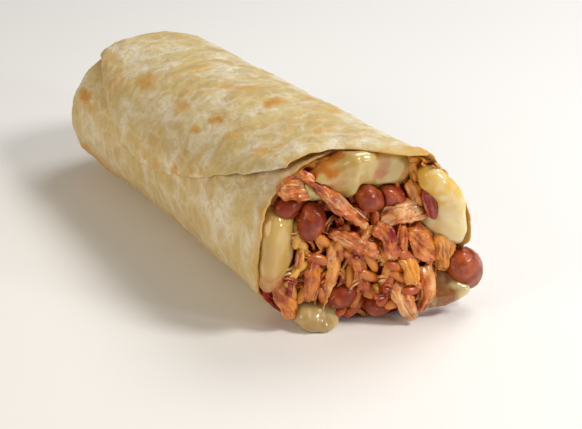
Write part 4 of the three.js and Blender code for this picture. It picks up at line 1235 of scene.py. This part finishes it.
def make_core():
    """The mass of chopped meat, rice and sauce under the grains, from end to end of the roll."""
    angles = np.linspace(0, 360, CORE_SIDES, endpoint=False)
    back = CLOSED_END + CORE_INSET + 4
    rim = roll_point(FACE_DEPTH, angles, 0) + BOX_CENTRE
    front = face_depth(rim[:, 1], rim[:, 2]) - 1.2
    inner = rim_depth(INNER_RIM, angles)
    rows = []
    for part in np.r_[0.02, 0.06, 0.12, 0.3, 0.5, 0.7, np.linspace(0.82, 1, 40)]:
        x = back + (front - back) * part
        inset = CORE_INSET - CORE_BULGE * smooth(x, inner - 8, inner - 3)
        inset = inset + (CORE_BARE_INSET - CORE_INSET) * smooth(x, inner + 0.5, inner + 2.6)
        rows.append(roll_point(x, angles, inset))
    edge = rows[-1] + BOX_CENTRE
    middle = np.array([0, SWAY[2], FACE_MIDDLE])
    for part in np.linspace(0.985, 0.02, 90):
        place = middle + (edge - middle) * part
        rows.append(on_face(place[:, 1], place[:, 2], -0.5 - 0.7 * smooth(part, 0.98, 0.85)))
    body = np.array(rows)
    shreds = 1 - 2.2 * np.abs(noise(body / 2.3 + 6))
    lumps = layered(body / 4.2, 2) + 0.55 * shreds + 0.2 * layered(body / 1.1, 2)
    place = body + BOX_CENTRE
    dip_and_shade = hollow(place[..., 1], place[..., 2])
    body[..., 0] += (1.5 * (lumps - 0.35) - dip_and_shade) * smooth(body[..., 0], 60, 66)
    tips = [roll_point(back, 0, 2.5), on_face(SWAY[2], middle[2], -1.2)]
    # The sauce is darker where it lies lower and in the hollows: partly pooled sauce, partly painted shade.
    tone = np.r_[(0.3 + 0.42 * lumps - 0.2 * dip_and_shade).ravel(), 0.3, 0.3]
    place = body + BOX_CENTRE - middle
    far = np.hypot(place[..., 1] / HALF_WIDTH[2], place[..., 2] / HALF_HEIGHT[2])
    lining = smooth(far + 0.06 * lumps, 0.86, 0.96) * smooth(place[..., 2], -16, 0)
    points = np.vstack([body.reshape(-1, 3), *tips])
    faces = closed_faces(len(rows), CORE_SIDES)
    return mesh_from("rice_and_sauce", points, faces, tone=tone, lining=np.r_[lining.ravel(), 0, 0])


def grain_points(centre, heading, out, long, wide, bow, sides=10, rings=9):
    """A cooked grain: a slender rod with round ends, bowed away from what it lies on."""
    aside = np.cross(heading, out)
    aside /= np.linalg.norm(aside)
    level = np.cross(aside, heading)
    points = []
    for t in np.linspace(-1, 1, rings):
        slim = max((1 - abs(t) ** 3.6) ** 0.5, 0.3)
        middle = centre + heading * (t * long / 2) + level * bow * (1 - t * t)
        for turn in np.arange(sides) * 2 * math.pi / sides:
            rim = math.cos(turn) * aside + 0.86 * math.sin(turn) * level
            points.append(middle + rim * slim * wide / 2)
    faces = [
        (s * sides + k, (s + 1) * sides + k, (s + 1) * sides + (k + 1) % sides, s * sides + (k + 1) % sides)
        for s in range(rings - 1) for k in range(sides)
    ]
    faces += [tuple(range(sides)), tuple((rings - 1) * sides + k for k in reversed(range(sides)))]
    return np.array(points), faces


def solids_tree(meshes):
    """A tree for finding how far a place is from the surface of some solids."""
    points, faces = [], []
    for mesh in meshes:
        start = len(points)
        points += [tuple(v.co) for v in mesh.vertices]
        faces += [tuple(start + i for i in p.vertices) for p in mesh.polygons]
    return BVHTree.FromPolygons(points, faces)


def depth_inside(tree, place):
    """How deep a place is inside the solids in millimetres; less than nothing outside them."""
    near, normal, _, far = tree.find_nearest(Vector(place * MM))
    inside = (Vector(place * MM) - near).dot(normal) < 0
    return far / MM if inside else -far / MM


def fitting_length(solids, centre, heading, lengths, tested, sinks):
    """The first of some lengths at which a rod sinks no deeper than this into the solids, or 0. It is tested
    at its middle, part of the way out and at a share of the way to its ends."""
    for long in lengths:
        places = [centre + heading * share * long / 2 for share in (-tested, -0.45, 0, 0.45, tested)]
        if max(depth_inside(solids, place) for place in places) < sinks:
            return long
    return 0


def crowded(centre, laid, apart):
    """Whether a place is too near the ones that are taken."""
    return any(np.linalg.norm(centre - other) < apart for other in laid)


def heading_of(turn, lean):
    """The direction of a rod that is turned about the roll's axis and leans forward, both in radians."""
    return np.array([math.sin(lean), math.cos(turn) * math.cos(lean), math.sin(turn) * math.cos(lean)])


GRAINS_APART = 2.6  # between the middles of two grains
GRAIN_SINKS = 0.5  # how deep a grain may reach into its neighbours, as soft grains press into each other
GRAIN_TESTED = 0.85  # how near its ends it is tested, as a share of half its length
BROKEN_GRAIN = 0.75  # the length of a broken grain, as a share of a whole one


class BURRITO_OT_rice(bpy.types.Operator):
    """Makes the core of rice and sauce, and lays cooked grains of rice over its open face"""

    bl_idname = "burrito.rice"
    bl_label = "Rice"

    def execute(self, context):
        look = context.scene.burrito_filling
        random = np.random.default_rng(21)
        neighbours = solids_tree(made.data for name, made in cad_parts.items() if name != "rice")
        wide = look.grain_wide / MM
        rows = [(*placed, 0.6) for placed in PLACED_RICE]
        for _ in range(look.grains):
            across, up = random_place(random, 3)
            turn, lean, out = random.uniform(0, 180), random.uniform(-20, 20), random.uniform(-0.2, 1.2)
            likely = max(
                share * math.exp(-((across - a) ** 2 + (up - u) ** 2) / (2 * spread * spread))
                for a, u, spread, share in RICE_PATCHES
            )
            if random.random() < likely:
                rows.append((across, up, turn, lean, out))
        points, faces, tone, laid = [], [], [], []
        for across, up, turn, lean, out in rows:
            centre = on_face(across, up, out)
            heading = heading_of(math.radians(turn), math.radians(lean))
            whole = look.grain_long / MM * random.uniform(0.9, 1.12)
            lengths = (whole, BROKEN_GRAIN * whole)
            long = fitting_length(neighbours, centre, heading, lengths, GRAIN_TESTED, GRAIN_SINKS)
            if not long or hollow(across, up) > HOLLOW_BARE or crowded(centre, laid, GRAINS_APART):
                continue
            if centre[2] - GRAIN_TESTED * abs(heading[2]) * long / 2 < wide / 2:
                continue
            laid.append(centre)
            made, own = grain_points(
                centre, heading, np.array([1.0, 0, 0.1]), long, wide * random.uniform(0.88, 1.06),
                random.uniform(0.1, 0.6),
            )
            faces += [tuple(len(points) + i for i in face) for face in own]
            points += made.tolist()
            # The grains are redder towards the middle of the face and low down.
            stain = 0.1 + 0.5 * float(smooth(across, -20, -10)) + 0.3 * float(smooth(-up, -22, -8))
            tone += [stain + random.uniform(-0.3, 0.35)] * len(made)
        points = np.array(points)
        points += 0.12 * layered(points / 2.4, 2)[:, None]
        grains = mesh_from("rice_grains", points, faces, tone=tone)
        piece("rice_grains", grains, seasoned_rice(look), "rice", "rice")
        piece("rice_and_sauce", make_core(), red_sauce(look), "rice", "rice")
        return {"FINISHED"}


# Golden shreds under the torn corner: (across, up, turn, lean, how far out, length).
TIP_SHREDS = [
    (20.0, 51.4, 150, 20, 5.0, 8.0), (23.6, 49.2, 128, 25, 5.5, 8.5), (26.2, 46.6, 118, 15, 5.5, 7.5),
    (17.0, 52.2, 165, 15, 4.5, 7.0), (22.0, 46.6, 100, -10, 4.0, 7.0), (24.8, 47.0, 60, 10, 4.5, 6.0),
]
SHREDS_APART = 2.2
SHRED_SINKS = 0.6
SHRED_TESTED = 0.9  # as for a grain
SHRED_LENGTHS = (1.0, 0.7, 0.45)  # a shred that would cross a piece is cut shorter
SHRED_SIDES = 7
FORWARD = np.array([1.0, 0, 0])
IN_FRONT = 25.0  # loose bits are laid from this far in front of the face


def shred_fibres(random, centre, heading, long, wide, bend):
    """The paths and radii of the fibres that a shred is a bundle of."""
    aside = np.cross(heading, FORWARD)
    t = np.linspace(-1, 1, 9)
    for _ in range(random.integers(3, 7)):
        shift = random.uniform(-wide, wide) * aside + random.uniform(-0.25, 0.45) * FORWARD
        part, splay = random.uniform(0.6, 1.05), random.normal(size=3) * 0.05
        path = centre + shift + t[:, None] * (heading + splay) * part * long / 2
        path = path + (bend * long / 2 * t**2)[:, None] * aside
        radius = random.uniform(0.3, 0.62) * np.sqrt(np.clip(1 - np.abs(t) ** 3, 0.08, 1))
        yield path + 0.15 * noise(path / 1.4)[:, None], radius


class BURRITO_OT_shreds(bpy.types.Operator):
    """Fills the spaces between the larger pieces with small shreds and chips of chicken"""

    bl_idname = "burrito.shreds"
    bl_label = "Shreds"

    def execute(self, context):
        look = context.scene.burrito_filling
        random = np.random.default_rng(77)
        core = solids_tree([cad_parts["rice"].data])
        others = [made.data for name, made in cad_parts.items() if name not in ("rice", "tortilla")]
        others = solids_tree([*others, bpy.data.objects["rice_grains"].data])
        paths, radii, tones, laid = [], [], [], []
        for k in range(len(TIP_SHREDS) + look.shreds):
            across, up = random_place(random, 3.5)
            turn, lean = random.uniform(0, math.pi), random.uniform(-0.35, 0.35)
            whole, wide = random.uniform(3.5, 9.5), random.uniform(0.7, 1.5)
            bend, tone, gilt = random.uniform(-0.3, 0.3), random.uniform(0.0, 1), random.uniform(-0.4, 1)
            if k < len(TIP_SHREDS):
                across, up, turn, lean, out, whole = TIP_SHREDS[k]
                turn, lean, tone, gilt = math.radians(turn), math.radians(lean), 0.15 * k, 1.0
                centre = on_face(across, up, out)
            else:
                origin = Vector(on_face(across, up, IN_FRONT) * MM)
                hit, normal, _, _ = core.ray_cast(origin, Vector(-FORWARD))
                if hit is None or normal.x < 0.2 or hollow(across, up) > HOLLOW_BARE:
                    continue
                centre = np.array(hit) / MM + random.uniform(-0.6, 0.5) * FORWARD
            heading = heading_of(turn, lean)
            if crowded(centre, laid, SHREDS_APART):
                continue
            lengths = [whole * share for share in SHRED_LENGTHS]
            long = fitting_length(others, centre, heading, lengths, SHRED_TESTED, SHRED_SINKS)
            if not long or centre[2] < long * abs(heading[2]) / 2 + wide:
                continue
            laid.append(centre)
            for path, radius in shred_fibres(random, centre, heading, long, wide, bend):
                paths.append(path)
                radii.append(radius)
                tones += [(tone + random.uniform(-0.2, 0.2), gilt)] * SHRED_SIDES * len(path)
        points, faces = tubes(paths, radii, SHRED_SIDES)
        points = np.array(points)
        points += 0.08 * layered(points / 0.9, 2)[:, None]
        tone, gold = np.array(tones).T
        ridge = 0.65 + 0.5 * noise(points / 1.1)
        mesh = mesh_from("chicken_shreds", points, faces, tone=tone, gold=gold, ridge=ridge, grain=points)
        piece("chicken_shreds", mesh, pulled_chicken(look), "chicken")
        return {"FINISHED"}


# A crumb is an eight-sided bit with its corners pushed about.
CRUMB_CORNERS = np.array([(0, 0, 1), (0, 0, -1), (1, 0, 0), (-1, 0, 0), (0, 1, 0), (0, -1, 0)])
CRUMB_FACES = [(0, 2, 4), (0, 4, 3), (0, 3, 5), (0, 5, 2), (1, 4, 2), (1, 3, 4), (1, 5, 3), (1, 2, 5)]
CHEESE_CLEARED = 1.2  # no crumb lies nearer to cheese than this


class BURRITO_OT_crumbs(bpy.types.Operator):
    """Scatters crumbs of meat, spice and cheese over the filling"""

    bl_idname = "burrito.crumbs"
    bl_label = "Crumbs"

    def execute(self, context):
        look = context.scene.burrito_filling
        random = np.random.default_rng(33)
        filling = solids_tree(made.data for name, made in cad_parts.items() if name != "tortilla")
        cheese = solids_tree(made.data for name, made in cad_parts.items() if name.startswith("cheese"))
        points, faces, tone = [], [], []
        for _ in range(look.crumbs):
            origin = Vector(on_face(*random_place(random, 4), IN_FRONT) * MM)
            hit, _, _, _ = filling.ray_cast(origin, Vector(-FORWARD))
            if hit is None or depth_inside(cheese, np.array(hit) / MM) > -CHEESE_CLEARED:
                continue
            centre, size = np.array(hit) / MM, random.uniform(0.2, 0.55)
            faces += [tuple(len(points) + i for i in side) for side in CRUMB_FACES]
            for corner in CRUMB_CORNERS:
                points.append(centre + corner * size * random.uniform(0.6, 1.3, 3))
            tone += [random.uniform(0, 1)] * len(CRUMB_CORNERS)
        mesh = mesh_from("crumbs", np.array(points), faces, tone=tone)
        mesh = reshaped(mesh, ("SUBSURF", {"levels": 1, "render_levels": 1}))
        piece("crumbs", mesh, crumb_bits(), "chicken")
        return {"FINISHED"}


# ---- the stage -----------------------------------------------------------------------------------

CAMERA_PLACE = np.array([444.82, -237.44, 251.38])  # in the roll's own frame, before the box is centred
CAMERA_TARGET = np.array([16.64, 9.89, 10.57])
SENSOR_WIDTH = 36.0
# Each light: name, place, target, width, the setting that gives its power, its share of that, colour.
LIGHTS = [
    ("key_softbox", (-120, 420, 620), (0, 0, 20), 420, "key", 0.62, "#FFFCF8"),
    ("spark_lamp", (560, 300, 210), (70, 0, 25), 70, "key", 0.16, "#FFFFFF"),
    ("front_softbox", (420, 330, 560), (70, 0, 20), 200, "key", 0.82, "#FFFAF2"),
    ("fill_softbox", (60, -620, 300), (20, 0, 20), 420, "fill", 1.0, "#FFE8C4"),
]
SKY_COLOUR = "#FFFDFA"
FLOOR_RADIUS = 4000.0
FLOOR_SIDES = 64


def aim(made, place, target):
    """Puts a light or a camera at a place and turns it towards its target."""
    made.location = Vector(place) * MM
    made.rotation_euler = (Vector(target) - Vector(place)).to_track_quat("-Z", "Y").to_euler()


class BURRITO_OT_stage(bpy.types.Operator):
    """Lays a pale floor and sets up soft studio light and the camera"""

    bl_idname = "burrito.stage"
    bl_label = "Stage"

    def execute(self, context):
        scene = context.scene
        look = scene.burrito_stage
        turns = np.linspace(0, 2 * math.pi, FLOOR_SIDES, endpoint=False)
        ring = [(FLOOR_RADIUS * math.cos(turn), FLOOR_RADIUS * math.sin(turn), 0) for turn in turns]
        floor_mesh = mesh_from("floor", ring, [tuple(range(FLOOR_SIDES))])
        floor_mesh.materials.append(matt_board())
        floor = bpy.data.objects.new("floor", floor_mesh)
        scene.collection.objects.link(floor)
        floor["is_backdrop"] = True
        for name, place, target, width, setting, part, code in LIGHTS:
            lamp = bpy.data.lights.new(name, "AREA")
            lamp.shape, lamp.size = "DISK", width * MM
            lamp.energy = getattr(look, setting) * part
            lamp.color = linear(code, alpha=False)
            made = bpy.data.objects.new(name, lamp)
            aim(made, place, target)
            scene.collection.objects.link(made)
        world = bpy.data.worlds.new("studio")
        world.use_nodes = True
        sky = world.node_tree.nodes["Background"]
        sky.inputs["Color"].default_value = linear(SKY_COLOUR)
        sky.inputs["Strength"].default_value = look.sky
        scene.world = world
        camera = bpy.data.cameras.new("camera")
        camera.sensor_width, camera.lens = SENSOR_WIDTH, look.focal
        camera.clip_start, camera.clip_end = 0.01, 20.0
        made = bpy.data.objects.new("camera", camera)
        aim(made, CAMERA_PLACE - BOX_CENTRE, CAMERA_TARGET - BOX_CENTRE)
        scene.collection.objects.link(made)
        scene.camera = made
        scene.view_settings.view_transform = "Standard"
        return {"FINISHED"}


# ---- the add-on ----------------------------------------------------------------------------------

OPERATORS = (
    BURRITO_OT_tortilla, BURRITO_OT_cheese, BURRITO_OT_beans, BURRITO_OT_chicken, BURRITO_OT_rice,
    BURRITO_OT_shreds, BURRITO_OT_crumbs, BURRITO_OT_stage,
)
SETTINGS = {
    "burrito_tortilla": BurritoTortilla, "burrito_filling": BurritoFilling, "burrito_stage": BurritoStage,
}


class BURRITO_PT_panel(bpy.types.Panel):
    """Lists the burrito's settings and the operators that make it"""

    bl_idname = "BURRITO_PT_panel"
    bl_label = "Burrito"
    bl_space_type = "VIEW_3D"
    bl_region_type = "UI"
    bl_category = "Burrito"

    def draw(self, context):
        for operator in OPERATORS:
            self.layout.operator(operator.bl_idname)
        for key, group in SETTINGS.items():
            column = self.layout.column(heading=group.__name__)
            for name in group.__annotations__:
                column.prop(getattr(context.scene, key), name)


def register():
    for made in (*SETTINGS.values(), *OPERATORS, BURRITO_PT_panel):
        bpy.utils.register_class(made)
    for key, group in SETTINGS.items():
        setattr(bpy.types.Scene, key, bpy.props.PointerProperty(type=group))


def unregister():
    for key in SETTINGS:
        delattr(bpy.types.Scene, key)
    for made in reversed((*SETTINGS.values(), *OPERATORS, BURRITO_PT_panel)):
        bpy.utils.unregister_class(made)


def main():
    register()
    for operator in OPERATORS:
        group, name = operator.bl_idname.split(".")
        getattr(getattr(bpy.ops, group), name)()
    bpy.context.view_layer.update()
    boxes = {"cad": CAD_BOX, "visual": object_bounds()}
    plain = {key: [list(map(float, corner)) for corner in box] for key, box in boxes.items()}


if __name__ == "__main__":
    main()
